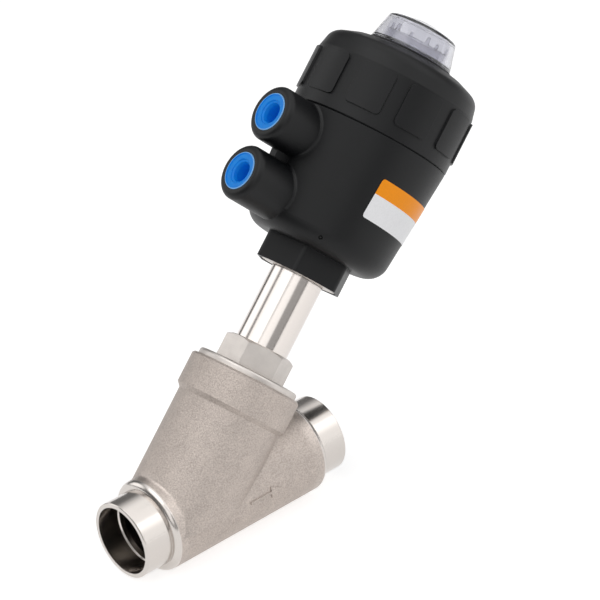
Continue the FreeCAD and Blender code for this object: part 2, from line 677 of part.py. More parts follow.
def spindle():
    """Spindle with a threaded foot, a hole for the disc pin and a reduced upper end."""
    shoulder = SEAT_TOP + SEAT_GAP + SEAL_THICKNESS
    foot = SEAT_TOP + SEAT_GAP - CLAMP_THICKNESS - NUT_HEIGHT - THREAD_END
    blank = turned([
        (0, foot), (SPINDLE_END_RADIUS - SPINDLE_CHAMFER, foot),
        (SPINDLE_END_RADIUS, foot + SPINDLE_CHAMFER),
        (SPINDLE_END_RADIUS, shoulder), (SPINDLE_RADIUS, shoulder), (SPINDLE_RADIUS, PISTON_BOTTOM),
        (SPINDLE_END_RADIUS, PISTON_BOTTOM), (SPINDLE_END_RADIUS, SPINDLE_TOP - SPINDLE_CHAMFER),
        (SPINDLE_END_RADIUS - SPINDLE_CHAMFER, SPINDLE_TOP), (0, SPINDLE_TOP),
    ])
    pin_level = shoulder + DISC_THICKNESS + DISC_HUB_HEIGHT / 2
    hole = across(rod(PIN_RADIUS + PUSH_FIT, -2 * SPINDLE_RADIUS, 2 * SPINDLE_RADIUS), 90, pin_level)
    return blank.cut(hole)


def piston():
    """Piston with seal groove, guide groove, spring seats and a hub."""
    seal_bottom = PISTON_BOTTOM + (PISTON_WEB - PISTON_SEAL_HEIGHT) / 2
    seal_top = seal_bottom + PISTON_SEAL_HEIGHT
    guide_top = PISTON_TOP - PISTON_GUIDE_DROP
    guide_bottom = guide_top - PISTON_GUIDE_HEIGHT
    inner = PISTON_RADIUS - PISTON_RIM_WALL
    bore = SPINDLE_END_RADIUS + PUSH_FIT
    return turned([
        (bore, PISTON_BOTTOM), (PISTON_RADIUS - PISTON_CHAMFER, PISTON_BOTTOM),
        (PISTON_RADIUS, seal_bottom - PISTON_FILLET), (PISTON_RADIUS, seal_bottom),
        (PISTON_RADIUS - PISTON_SEAL_DEPTH, seal_bottom),
        (PISTON_RADIUS - PISTON_SEAL_DEPTH, seal_top), (PISTON_RADIUS, seal_top),
        (PISTON_RADIUS, guide_bottom), (PISTON_RADIUS - PISTON_GUIDE_DEPTH, guide_bottom),
        (PISTON_RADIUS - PISTON_GUIDE_DEPTH, guide_top), (PISTON_RADIUS, guide_top),
        (PISTON_RADIUS, PISTON_TOP), (inner, PISTON_TOP),
        (inner - PISTON_RIM_TAPER, PISTON_WEB_TOP, PISTON_FILLET),
        (PISTON_HUB_RADIUS, PISTON_WEB_TOP, PISTON_FILLET), (PISTON_HUB_RADIUS, HUB_TOP), (bore, HUB_TOP),
    ])


def piston_seal():
    """Lip seal in the piston's groove: a U that opens to the air side."""
    bottom = PISTON_BOTTOM + (PISTON_WEB - PISTON_SEAL_HEIGHT) / 2
    top = bottom + PISTON_SEAL_HEIGHT
    inner = PISTON_RADIUS - PISTON_SEAL_DEPTH + PUSH_FIT
    outer = CYLINDER_RADIUS - SEAL_FIT
    middle = (inner + outer) / 2
    slot = (outer - inner) / 6
    return turned([
        (inner, bottom + PUSH_FIT), (middle - slot, bottom + PUSH_FIT),
        (middle - slot, bottom + PISTON_SEAL_SLOT), (middle + slot, bottom + PISTON_SEAL_SLOT),
        (middle + slot, bottom + PUSH_FIT), (outer, bottom + PUSH_FIT),
        (outer - PISTON_SEAL_LIP, top - PUSH_FIT), (inner, top - PUSH_FIT),
    ])


def build_stem():
    """Everything that travels with the spindle."""
    seal_bottom = SEAT_TOP + SEAT_GAP
    seal_top = seal_bottom + SEAL_THICKNESS
    clamp_bottom = seal_bottom - CLAMP_THICKNESS
    on_stem("spindle", spindle())
    on_stem("disc_holder", disc_holder())
    on_stem("seat_seal", ring(
        SEAL_BORE_RADIUS, DISC_RADIUS - DISC_RIM - PUSH_FIT, seal_bottom, seal_top,
    ))
    on_stem("seal_clamp", turned([
        (SPINDLE_END_RADIUS + PUSH_FIT, clamp_bottom), (CLAMP_RADIUS - CLAMP_CHAMFER, clamp_bottom),
        (CLAMP_RADIUS, clamp_bottom + CLAMP_CHAMFER), (CLAMP_RADIUS, seal_bottom),
        (SEAL_BORE_RADIUS - PUSH_FIT, seal_bottom), (SEAL_BORE_RADIUS - PUSH_FIT, seal_top),
        (SPINDLE_END_RADIUS + PUSH_FIT, seal_top),
    ]))
    on_stem("disc_nut", chamfered_nut(
        NUT_AF, clamp_bottom - NUT_HEIGHT, clamp_bottom, SPINDLE_END_RADIUS + PUSH_FIT,
    ))
    pin_level = seal_top + DISC_THICKNESS + DISC_HUB_HEIGHT / 2
    pin_reach = DISC_HUB_RADIUS - PIN_INSET
    on_stem("disc_pin", across(rod(PIN_RADIUS, -pin_reach, pin_reach), 90, pin_level))
    on_stem("piston", piston())
    on_stem("piston_seal", piston_seal())
    guide_top = PISTON_TOP - PISTON_GUIDE_DROP
    on_stem("piston_guide", ring(
        PISTON_RADIUS - PISTON_GUIDE_DEPTH + PUSH_FIT, CYLINDER_RADIUS - RUN_FIT,
        guide_top - PISTON_GUIDE_HEIGHT + PUSH_FIT, guide_top - PUSH_FIT,
    ))
    on_stem("piston_nut", chamfered_nut(
        NUT_AF, HUB_TOP, HUB_TOP + NUT_HEIGHT, SPINDLE_END_RADIUS + PUSH_FIT,
    ))
    on_stem("indicator_rod", turned([
        (0, SPINDLE_TOP), (ROD_RADIUS, SPINDLE_TOP), (ROD_RADIUS, HEAD_BOTTOM),
        (HEAD_RADIUS, HEAD_BOTTOM), (HEAD_RADIUS, HEAD_TOP, HEAD_ROUND), (0, HEAD_TOP),
    ]))


def port_boss():
    """Round boss drawn upright from the stem axis out to the port face."""
    return turned([
        (0, CYLINDER_RADIUS), (BOSS_RADIUS, CYLINDER_RADIUS), (BOSS_RADIUS, PORT_REACH, BOSS_ROUND),
        (0, PORT_REACH),
    ])


def bowl_radius(height):
    """Outer radius of the bowl's leaning wall at a height."""
    return RIM_RADIUS - (RIM_TOP - JOINT_BEVEL - height) * DRAFT_SLOPE


def in_boss_root(edge, level):
    """Whether an edge is the root of the boss at a level, on its side and near the wall."""
    turn = math.radians(PORT_ANGLE)
    outwards = FreeCAD.Vector(math.cos(turn), math.sin(turn), 0)
    for point in edge.discretize(EDGE_POINTS):
        arm = point - FreeCAD.Vector(0, 0, level)
        reach = arm.dot(outwards)
        off_axis = (arm - outwards * reach).Length
        if abs(off_axis - BOSS_RADIUS) > ON_EDGE or reach > (RIM_RADIUS + PORT_REACH) / 2:
            return False
    return True


def rooted_boss(level):
    """Port boss at a level, with its root on the leaning wall rounded."""
    low = level - 2 * BOSS_RADIUS
    high = level + 2 * BOSS_RADIUS
    wall = turned([(0, low), (bowl_radius(low), low), (bowl_radius(high), high), (0, high)])
    boss = across(port_boss(), PORT_ANGLE, level)
    joined = wall.fuse(boss)
    root = [edge for edge in joined.Edges if in_boss_root(edge, level)]
    wall_zone = rod(2 * PORT_REACH, BOWL_BOTTOM + BOWL_ROUND, RIM_TOP - JOINT_BEVEL)
    return boss.fuse(joined.makeFillet(BOSS_ROOT_ROUND, root).common(wall_zone))


def port_hole():
    """Thread bore with its mouth, drawn upright from the stem axis."""
    return turned([
        (0, PORT_REACH - PORT_THREAD_DEPTH), (PORT_THREAD_RADIUS, PORT_REACH - PORT_THREAD_DEPTH),
        (PORT_THREAD_RADIUS, PORT_REACH - PORT_MOUTH_DEPTH),
        (PORT_MOUTH_RADIUS, PORT_REACH - PORT_MOUTH_DEPTH),
        (PORT_MOUTH_RADIUS, PORT_REACH + OVERRUN), (0, PORT_REACH + OVERRUN),
    ])


def lower_housing():
    """Moulded housing: hexagon foot, bowl, piston cylinder and two port bosses."""
    bowl = turned([
        (0, BOWL_BOTTOM), (FOOT_RADIUS, BOWL_BOTTOM, BOWL_ROUND), (RIM_RADIUS, RIM_TOP - JOINT_BEVEL),
        (RIM_RADIUS - JOINT_BEVEL, RIM_TOP), (0, RIM_TOP),
    ])
    foot = hexagon(
        HOUSING_HEX_AF, HOUSING_BOTTOM, BOWL_BOTTOM + OVERRUN, HOUSING_CORNER_ANGLE, HOUSING_HEX_ROUND,
    )
    rib_height = PORT_SPACING - 2 * BOSS_RADIUS + 2 * PORT_RIB_OVERLAP
    rib = Part.makeBox(
        rib_height, PORT_RIB_WIDTH, PORT_RIB_REACH - CYLINDER_RADIUS,
        FreeCAD.Vector(-rib_height / 2, -PORT_RIB_WIDTH / 2, CYLINDER_RADIUS),
    )
    shape = bowl.fuse([
        foot, rooted_boss(PORT_LOWER), rooted_boss(PORT_UPPER),
        across(rib, PORT_ANGLE, (PORT_LOWER + PORT_UPPER) / 2),
    ])
    seal_bottom = HOUSING_BOTTOM + TUBE_SEAL_HEIGHT
    seal_top = seal_bottom + TUBE_SEAL_WIRE + TUBE_SEAL_SIDE_PLAY
    seal_radius = TUBE_RADIUS + TUBE_SEAL_WIRE + TUBE_SEAL_PLAY
    hollow = turned([
        (0, HOUSING_BOTTOM - OVERRUN), (RECESS_RADIUS, HOUSING_BOTTOM - OVERRUN),
        (RECESS_RADIUS, TUBE_FLANGE_TOP + TURN_GAP), (HOUSING_BORE, TUBE_FLANGE_TOP + TURN_GAP),
        (HOUSING_BORE, seal_bottom), (seal_radius, seal_bottom), (seal_radius, seal_top),
        (HOUSING_BORE, seal_top), (HOUSING_BORE, FLOOR_TOP),
        (CYLINDER_RADIUS, FLOOR_TOP, CYLINDER_ROUND), (CYLINDER_RADIUS, RIM_SEAT),
        (RIM_BORE, RIM_SEAT), (RIM_BORE, RIM_TOP + OVERRUN), (0, RIM_TOP + OVERRUN),
    ])
    thread_end = PORT_REACH - PORT_THREAD_DEPTH
    passage = rod(PASSAGE_RADIUS, CYLINDER_RADIUS - CYLINDER_ROUND, thread_end + OVERRUN)
    gate = turned([
        (GATE_RADIUS / 2, 0), (GATE_RADIUS, 0), (GATE_RADIUS, BOWL_ROUND), (GATE_RADIUS / 2, BOWL_ROUND),
    ])
    gate.translate(FreeCAD.Vector(0, 0, BOWL_ROUND - GATE_DEPTH))
    gate.rotate(FreeCAD.Vector(0, 0, 0), FreeCAD.Vector(0, 1, 0), GATE_LEAN)
    gate.translate(FreeCAD.Vector(FOOT_RADIUS - BOWL_ROUND, 0, BOWL_BOTTOM + BOWL_ROUND))
    gate.rotate(FreeCAD.Vector(0, 0, 0), FreeCAD.Vector(0, 0, 1), GATE_ANGLE)
    return shape.cut([
        hollow,
        across(port_hole(), PORT_ANGLE, PORT_LOWER),
        across(port_hole(), PORT_ANGLE, PORT_UPPER),
        across(passage, PORT_ANGLE, PORT_LOWER - PASSAGE_DROP),
        across(passage, PORT_ANGLE, PORT_UPPER),
        gate,
    ])


def grip_pad(index):
    """One raised pad of the cover, with rounded corners, following its round side."""
    width = 2 * COVER_RADIUS * math.sin(math.radians(PAD_ANGLE / 2))
    outline = [
        (-PAD_HEIGHT / 2, -width / 2, PAD_ROUND), (PAD_HEIGHT / 2, -width / 2, PAD_ROUND),
        (PAD_HEIGHT / 2, width / 2, PAD_ROUND), (-PAD_HEIGHT / 2, width / 2, PAD_ROUND),
    ]
    blank = Part.Face(rounded_wire(outline)).extrude(FreeCAD.Vector(0, COVER_RADIUS, 0))
    blank.rotate(FreeCAD.Vector(0, 0, 0), FreeCAD.Vector(1, 0, 0), 90)
    angle = PAD_OFFSET_ANGLE + 360.0 * index / PAD_COUNT
    blank.translate(FreeCAD.Vector(0, 0, COVER_RADIUS / 2))
    pad = across(blank, angle, RIM_TOP + PAD_FOOT + PAD_HEIGHT / 2)
    skin = ring(
        COVER_RADIUS - COVER_WALL / 2, COVER_RADIUS + PAD_RELIEF,
        RIM_TOP + PAD_FOOT - OVERRUN, RIM_TOP + PAD_FOOT + PAD_HEIGHT + OVERRUN,
    )
    return pad.common(skin)


def cover():
    """Screwed cover with grip pads, spring seat, rod guide and the seat of the dome."""
    outer = turned([
        (0, RIM_TOP), (COVER_RADIUS - JOINT_BEVEL, RIM_TOP), (COVER_RADIUS, RIM_TOP + JOINT_BEVEL),
        (COVER_RADIUS, RIM_TOP + COVER_SIDE),
        (COVER_SHOULDER_RADIUS, RIM_TOP + COVER_SHOULDER_HEIGHT, COVER_ROUND),
        (COVER_CROWN_RADIUS, RIM_TOP + COVER_CROWN_HEIGHT),
        (COVER_NECK_RADIUS, RIM_TOP + COVER_NECK_FOOT), (COVER_NECK_RADIUS, COVER_TOP),
        (0, COVER_TOP),
    ])
    skirt_outer = RIM_BORE - THREAD_FIT
    skirt_inner = skirt_outer - SKIRT_WALL
    skirt_bottom = RIM_SEAT + SKIRT_GAP
    skirt = ring(skirt_inner, skirt_outer, skirt_bottom, RIM_TOP + OVERRUN)
    inner = COVER_RADIUS - COVER_WALL
    shoulder = SPRING_TOP - COVER_ROUND / 2
    ring_outer = SPRING_RADIUS - SPRING_WIRE / 2 - SPRING_RING_GAP
    ring_inner = ring_outer - SPRING_RING_WIDTH
    ring_bottom = SPRING_TOP - SPRING_RING_HEIGHT
    boss_bottom = SPRING_TOP - ROD_BOSS_DEPTH
    hollow = turned([
        (0, RIM_TOP - OVERRUN), (skirt_inner, RIM_TOP - OVERRUN),
        (skirt_inner, RIM_TOP + SKIRT_BLEND_FOOT), (inner, RIM_TOP + SKIRT_BLEND_TOP),
        (inner, shoulder, COVER_ROUND / 2), (SPRING_RADIUS + SPRING_WIRE, SPRING_TOP),
        (ring_outer, SPRING_TOP), (ring_outer, ring_bottom), (ring_inner, ring_bottom),
        (ring_inner, SPRING_TOP), (ROD_BOSS_RADIUS, SPRING_TOP),
        (ROD_BOSS_RADIUS, boss_bottom), (0, boss_bottom),
    ])
    rod_hole = rod(ROD_RADIUS + RUN_FIT, boss_bottom - OVERRUN, COVER_TOP + OVERRUN)
    seat = rod(DOME_SEAT_RADIUS, DOME_SEAT, COVER_TOP + OVERRUN)
    shape = outer.fuse([skirt] + [grip_pad(i) for i in range(PAD_COUNT)])
    return shape.cut([hollow, rod_hole, seat])


def indicator_dome():
    """Clear dome: skirt in the cover's seat, foot flange, leaning side and crowned top."""
    foot_top = COVER_TOP + DOME_FOOT_HEIGHT
    side_top = COVER_TOP + DOME_SIDE_HEIGHT
    top = COVER_TOP + DOME_HEIGHT
    skirt_outer = DOME_SEAT_RADIUS - PUSH_FIT
    skirt_inner = skirt_outer - DOME_WALL
    middle = (DOME_SEAT + COVER_TOP) / 2
    half = DOME_SEAL_WIRE / 2 + DOME_SEAL_PLAY
    groove = skirt_outer - DOME_SEAL_WIRE - PUSH_FIT
    inner_side = DOME_SIDE_RADIUS - DOME_WALL
    return turned([
        (skirt_inner, DOME_SEAT + TURN_GAP), (skirt_outer, DOME_SEAT + TURN_GAP),
        (skirt_outer, middle - half), (groove, middle - half), (groove, middle + half),
        (skirt_outer, middle + half), (skirt_outer, COVER_TOP), (DOME_FOOT_RADIUS, COVER_TOP),
        (DOME_FOOT_RADIUS, foot_top), (DOME_FOOT_RADIUS - DOME_FOOT_STEP, foot_top),
        (DOME_SIDE_RADIUS, side_top, DOME_ROUND), (DOME_CROWN_RADIUS, top - DOME_CROWN_DROP),
        (0, top), (0, top - DOME_WALL), (DOME_CROWN_RADIUS, top - DOME_CROWN_DROP - DOME_WALL),
        (inner_side, side_top - DOME_SHOULDER_DROP, DOME_ROUND / 2), (skirt_inner, foot_top),
    ])


def port_plug():
    """Hollow push-in plug for an air port, drawn upright from the stem axis."""
    stem_radius = PORT_THREAD_RADIUS - THREAD_FIT
    foot = PORT_REACH - PORT_MOUTH_DEPTH - PLUG_STEM_LENGTH
    return turned([
        (0, foot), (stem_radius, foot), (stem_radius, PORT_REACH - PORT_MOUTH_DEPTH),
        (PORT_MOUTH_RADIUS - THREAD_FIT, PORT_REACH - PORT_MOUTH_DEPTH),
        (PORT_MOUTH_RADIUS - THREAD_FIT, PORT_REACH), (PLUG_HOLLOW_RADIUS + PLUG_CONE, PORT_REACH),
        (PLUG_HOLLOW_RADIUS, PORT_REACH - 2 * PLUG_CONE), (PLUG_HOLLOW_RADIUS, foot + PLUG_WALL),
        (0, foot + PLUG_WALL),
    ])


def label():
    """Thin bare label that wraps part of the tapered housing."""
    bottom = BOWL_BOTTOM + LABEL_FOOT
    top = bottom + LABEL_HEIGHT
    low = bowl_radius(bottom) + LABEL_GLUE
    high = bowl_radius(top) + LABEL_GLUE
    return turned([
        (low, bottom), (low + LABEL_THICKNESS, bottom), (high + LABEL_THICKNESS, top), (high, top),
    ], LABEL_ANGLE, LABEL_START_ANGLE)


def build_actuator():
    """Everything that turns with the housing."""
    on_stem("lower_housing", lower_housing())
    on_stem("tube_seal", o_ring(
        TUBE_RADIUS + SEAL_FIT + TUBE_SEAL_WIRE / 2, TUBE_SEAL_WIRE,
        HOUSING_BOTTOM + TUBE_SEAL_HEIGHT + (TUBE_SEAL_WIRE + TUBE_SEAL_SIDE_PLAY) / 2,
    ))
    on_stem("cover", cover())
    on_stem("cover_seal", ring(
        CYLINDER_RADIUS + PUSH_FIT, RIM_BORE - PUSH_FIT, RIM_SEAT, RIM_SEAT + SKIRT_GAP,
    ))
    on_stem("return_spring", coil(
        SPRING_WIRE, SPRING_RADIUS, PISTON_WEB_TOP + SPRING_SEAT_GAP, SPRING_TOP, SPRING_TURNS,
    ))
    on_stem("inner_spring", coil(
        INNER_WIRE, INNER_RADIUS, PISTON_WEB_TOP + SPRING_SEAT_GAP, SPRING_TOP, INNER_TURNS,
    ))
    on_stem("indicator_dome", indicator_dome())
    on_stem("dome_seal", o_ring(
        DOME_SEAT_RADIUS - PUSH_FIT - DOME_SEAL_WIRE / 2, DOME_SEAL_WIRE, (DOME_SEAT + COVER_TOP) / 2,
    ))
    on_stem("port_plug_lower", across(port_plug(), PORT_ANGLE, PORT_LOWER))
    on_stem("port_plug_upper", across(port_plug(), PORT_ANGLE, PORT_UPPER))
    on_stem("label", label())


def main():
    os.makedirs("parts", exist_ok=True)
    build_valve_half()
    build_stem()
    build_actuator()
    for name, shape in nodes.items():
        for solid in shape.Solids:
            if not solid.isValid() or not solid.isClosed():
                raise ValueError(name + " is not a sound solid")
        shape.exportStep("parts/" + name + ".step")


main()
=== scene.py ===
import json
import math

import bmesh
import bpy
import numpy as np
from mathutils import Matrix, Vector


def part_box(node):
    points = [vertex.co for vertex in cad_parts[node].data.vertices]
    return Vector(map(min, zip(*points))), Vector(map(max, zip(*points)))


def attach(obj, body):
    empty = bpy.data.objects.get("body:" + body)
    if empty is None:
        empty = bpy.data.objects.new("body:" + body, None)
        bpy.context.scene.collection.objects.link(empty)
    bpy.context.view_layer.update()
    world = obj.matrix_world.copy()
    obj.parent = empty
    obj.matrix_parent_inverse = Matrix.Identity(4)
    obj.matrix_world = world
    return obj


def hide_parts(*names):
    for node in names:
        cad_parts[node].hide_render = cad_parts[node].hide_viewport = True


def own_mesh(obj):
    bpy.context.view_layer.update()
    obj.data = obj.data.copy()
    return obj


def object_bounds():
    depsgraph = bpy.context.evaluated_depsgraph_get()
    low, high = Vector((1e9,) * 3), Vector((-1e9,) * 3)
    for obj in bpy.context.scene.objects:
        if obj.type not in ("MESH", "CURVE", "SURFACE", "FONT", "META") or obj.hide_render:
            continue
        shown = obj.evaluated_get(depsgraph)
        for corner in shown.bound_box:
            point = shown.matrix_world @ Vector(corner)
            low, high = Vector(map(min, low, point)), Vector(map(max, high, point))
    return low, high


bl_info = {
    "name": "Pneumatic seat valve",
    "version": (1, 0, 0),
    "blender": (4, 5, 0),
    "location": "View3D > Sidebar > Seat valve",
    "description": "Dresses the packed seat valve with its finishes and fine pieces",
    "category": "Object",
}

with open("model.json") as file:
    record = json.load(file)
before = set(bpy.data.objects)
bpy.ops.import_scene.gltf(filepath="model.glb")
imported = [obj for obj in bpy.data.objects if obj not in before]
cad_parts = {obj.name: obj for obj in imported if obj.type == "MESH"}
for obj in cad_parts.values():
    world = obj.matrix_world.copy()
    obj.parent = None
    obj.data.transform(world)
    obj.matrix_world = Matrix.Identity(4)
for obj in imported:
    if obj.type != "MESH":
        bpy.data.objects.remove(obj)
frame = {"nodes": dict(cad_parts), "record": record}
cad_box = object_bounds()
record = frame["record"]

MM = 0.001


def entry(rows, name):
    """The row of a list in the record that has this name."""
    return next(row for row in rows if row["name"] == name)


def axes(origin, along, across):
    """Own axes of a turned piece: origin in mm, then unit side, across and along vectors."""
    along = np.array(along) / np.linalg.norm(along)
    across = np.array(across) / np.linalg.norm(across)
    return np.array(origin), np.cross(across, along), across, along


# The stem's own axes start where its line crosses the level of the pipe's middle.
hinge = entry(record["behaviour"]["joints"], "actuator_turn")
hinge_place = np.array(hinge["pos_m"]) / MM
stem_lean = np.array(hinge["axis"])
STEM = axes(hinge_place - stem_lean * hinge_place[2] / stem_lean[2], stem_lean, (0.0, 1.0, 0.0))
STEM_AXIS = STEM[3]


def port_axes(name):
    """Own axes of an air port, from the middle of its face outwards."""
    port = entry(record["mounts"], name)
    return axes(np.array(port["pos_m"]) / MM, port["axis"], np.cross(STEM_AXIS, port["axis"]))


def placed(local, own):
    """Points (..., 3) given along a piece's own axes, in mm, as points of the part in metres."""
    origin, side, across, along = own
    return (origin + local[..., 0:1] * side + local[..., 1:2] * across + local[..., 2:3] * along) * MM


def mesh_points(mesh):
    """The points of a mesh in mm, as an array."""
    flat = np.zeros(len(mesh.vertices) * 3, np.float32)
    mesh.vertices.foreach_get("co", flat)
    return flat.reshape(-1, 3).astype(float) / MM


def about_stem(name):
    """Radius in mm, angle in radians and height in mm about the stem of a CAD node's points."""
    arm = mesh_points(frame["nodes"][name].data) - STEM[0]
    side, across, height = arm @ STEM[1], arm @ STEM[2], arm @ STEM[3]
    return np.hypot(side, across), np.arctan2(across, side), height


def reach(name):
    """Largest radius, lowest height and highest height of a CAD node about the stem, in mm."""
    radius, _, height = about_stem(name)
    return radius.max(), height.min(), height.max()


COLLAR_TOP = reach("valve_body")[2]
COVER_TOP = reach("cover")[2]
DOME_FOOT_RADIUS, DOME_BOTTOM, DOME_TOP = reach("indicator_dome")
LABEL_BOTTOM, LABEL_TOP = reach("label")[1:]
PIPE_RADIUS = entry(record["mounts"], "inlet_weld_end")["dims"]["r_mm"]
PIPE_ENDS = [end.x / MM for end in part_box("valve_body")]

# All lengths below are in mm, up to the camera. Heights are along a piece's own axis.
SPIGOT_LENGTH = 12.8    # turned weld end, up to its shoulder
SHOULDER = 2.6          # turned shoulder behind that
SHOULDER_BLEND = 0.3    # width over which the pebbles end there
DRESSED_START = 8.0     # this far behind the weld end the pebbles begin to get shallow
DRESSED_END = 5.5       # and this far behind it they are shallowest
MOUTH_BEVEL = 0.95      # machined bevel at the mouth of the neck
MOUTH_BLEND = 0.1
BORE_SKIN = 1.5         # the inside of the casting reaches this far past the pipe's radius
CAST_BORE = 14.2        # and this far from the axis inside a weld end
RUN_RADIUS = -cad_box[0].z / MM
NECK_RADIUS = 22.8
ROOT_LEVEL = 1.05       # height above the pipe's axis at which the rounded root starts
ROOT_TOP = 46.0         # height along the stem at which it ends
ROOT_DEPTH = 0.8        # depth in the steel of the point that closes a strip
SUNK = 0.02             # depth of a strip's edges under the surfaces that they touch

PLUG_FOOT = 11.9        # depth of a plug's foot under the face of its port
PLUG_CHAMFER = (0.5, 0.6)
PLUG_STEM = 5.75
PLUG_SEAT = 2.4         # depth of the seat that the rim rests on
PLUG_RIM = 8.25
PLUG_PROUD = 0.25       # height of the rim above the face
PLUG_LIP = (0.7, 0.2)   # width of the rim's raised lip, and its inner rounding
PLUG_LIP_FOOT = (0.8, -0.15)
# Steps of a plug's mouth, each as radius, height and rounding.
PLUG_MOUTH = ((5.4, -0.3, 0.3), (5.2, -0.9, 0.3), (4.5, -1.1, 0.3), (4.0, -2.6, 0.4))
PLUG_HOLE = 3.7
PLUG_FLOOR = 1.3        # thickness of the floor in the middle
PLUG_FLOOR_EDGE = (1.6, 0.6)
# The plug's outer rim is painted pale: a painted highlight where its edge catches light.
PAINTED_HIGHLIGHT_RIM = 0.35         # width of the rim painted pale, as a highlight
RIM_HIGHLIGHT_MARK = "plug_rim"

DOME_SKIRT = 15.55      # radius of the part pushed into the cover
DOME_SKIRT_ROUND = 0.3
DOME_LIFT = 0.02        # gap under the flange
DOME_FLANGE = 0.9
DOME_FLANGE_ROUND = (0.2, 0.3)
DOME_SIDE = 15.3
DOME_SIDE_TOP = 12.2    # height of the side above the cover
DOME_SIDE_ROUND = 1.6
DOME_CROWN = 6.3        # radius of the crown's flat middle
DOME_CROWN_FALL = 0.3
DOME_CROWN_ROUND = (4.0, 3.0)
# Corners of the ledge inside, each off the inner side and off the ledge's height, and rounding.
DOME_LEDGE = ((-1.1, 0.9, 0.4), (-1.0, 0.0, 0.1), (0.3, 0.0, 0.1))
DOME_FLARE = (0.9, 1.2)
DOME_FLARE_ROUND = 0.5
SLEEVE_RADIUS = 13.2
SLEEVE_WALL = 1.0
SLEEVE_CHAMFER = 0.2
SLEEVE_SUNK = 0.1
TABS = 6
TAB_START = 0.93        # cosine at which a tab's side starts to rise
TAB_STEEPNESS = 30
TAB_HEIGHT = 3.0

END_SLOWING = 0.16      # share of the height by which the end turns of a spring lie closer
LABEL_HEIGHT = 17.6
LABEL_TILT = math.radians(1.4)
LABEL_LEVEL = (LABEL_TOP + LABEL_BOTTOM) / 2 - 0.5
LABEL_BAND = 0.6        # share of the label's height at which the colour band starts
HEIGHT_SHARE = "label_height_share"
SAME_LEVEL = 0.05

# Grid steps, the gap in metres that is merged, and the turn in degrees that leaves an edge sharp.
ROUND_STEPS = 6
TURN_STEPS = 144
COIL_STEPS = 64
WIRE_STEPS = 16
SLEEVE_STEPS = 720
ROOT_STEPS = 96
ROOT_ARC_STEPS = 9
SEARCH_STEPS = 400
LABEL_STEPS = (161, 25)
MERGED = 1e-7
SHARP_TURNED = 32
SHARP_SWEPT = 40

# Inputs of a Map Range node by number, and of a Mix node for numbers and for colours.
VALUE, FROM_LOW, FROM_HIGH, TO_LOW, TO_HIGH = range(5)
NUMBER_A, NUMBER_B = 2, 3
COLOUR_A, COLOUR_B = 6, 7
# The span that most values of a noise texture lie in.
NOISE_SPAN = {FROM_LOW: 0.3, FROM_HIGH: 0.7}

# Camera of the product view: place in metres, unit vectors, and lens and sensor in mm.
CAMERA_PLACE = Vector((-0.6273, -0.9078, 0.6960))
CAMERA_RIGHT = Vector((0.73937, -0.66612, -0.0981))
CAMERA_DOWN = Vector((-0.38368, -0.29709, -0.87437))
CAMERA_AHEAD = Vector((0.55329, 0.68412, -0.47523))
CAMERA_LENS = 191.3
CAMERA_SENSOR = 36.0
CAMERA_CLIP = (0.05, 50.0)
FLOOR_REACH = 6.0       # metres
FLOOR_LIFT = 0.6        # light that lifts the floor to white for the camera
# Light of the room, where 1 is white. Gloss alone sees a softbox above, a panel behind and a
# grey front. A reach is where one starts and where it is full: the cosine between a direction
# and the softbox or panel, or the y of a direction for the front.
ROOM_LEVEL = 0.4
ROOM_BACK = 0.2
SOFTBOX = (0.15, -0.12, 0.981)
SOFTBOX_REACH = (0.4, 0.92)
SOFTBOX_LEVEL = 1.5
BACK_PANEL = (-0.38, 0.84, 0.39)
BACK_PANEL_REACH = (0.90, 0.98)
BACK_PANEL_LEVEL = 1.7
FRONT_REACH = (0.3, -0.6)
FRONT_LEVEL = 0.45
SEAM_TOP = 0.06         # z of the direction at which the dark seam over the floor ends
SEAM_LEVEL = 0.1
# Lamps: name, place and size in metres, and power in watts.
LAMPS = (
    ("key", (-0.70, 0.05, 1.50), (1.5, 1.5), 7.5),
    ("front", (-0.95, -1.15, 0.80), (1.2, 1.0), 3.5),
    ("fill", (0.85, -1.10, 0.60), (1.3, 1.4), 5.5),
)


def linear(code):
    """An sRGB hex colour as linear red, green, blue and full opacity."""
    parts = [int(code[i:i + 2], 16) / 255 for i in (1, 3, 5)]
    bent = [c / 12.92 if c <= 0.04045 else ((c + 0.055) / 1.055) ** 2.4 for c in parts]
    return (*bent, 1.0)


def colour_property(name, description, code):
    """A colour that a user can change, from an sRGB hex code."""
    return bpy.props.FloatVectorProperty(
        name=name, description=description, default=linear(code), min=0, max=1,
        subtype="COLOR", size=4,
    )


def length_property(name, description, millimetres):
    """A length that a user can change, given in millimetres and kept in metres."""
    return bpy.props.FloatProperty(
        name=name, description=description, default=millimetres * MM, min=0.05 * MM,
        subtype="DISTANCE", unit="LENGTH",
    )


class SeatValveFinish(bpy.types.PropertyGroup):
    """Colours of the valve that a user would change."""

    cast_colour: colour_property("Cast steel", "Tone of the blasted casting", "#b9afa8")
    turned_colour: colour_property("Turned steel", "Tone of the turned and milled faces", "#c9c3be")
    housing_colour: colour_property("Housing", "Moulded nylon of the actuator", "#08090b")
    plug_colour: colour_property("Port plugs", "Soft plugs in the air ports", "#0698f4")
    label_colour: colour_property("Label band", "Colour of the label's upper band", "#ff9a00")


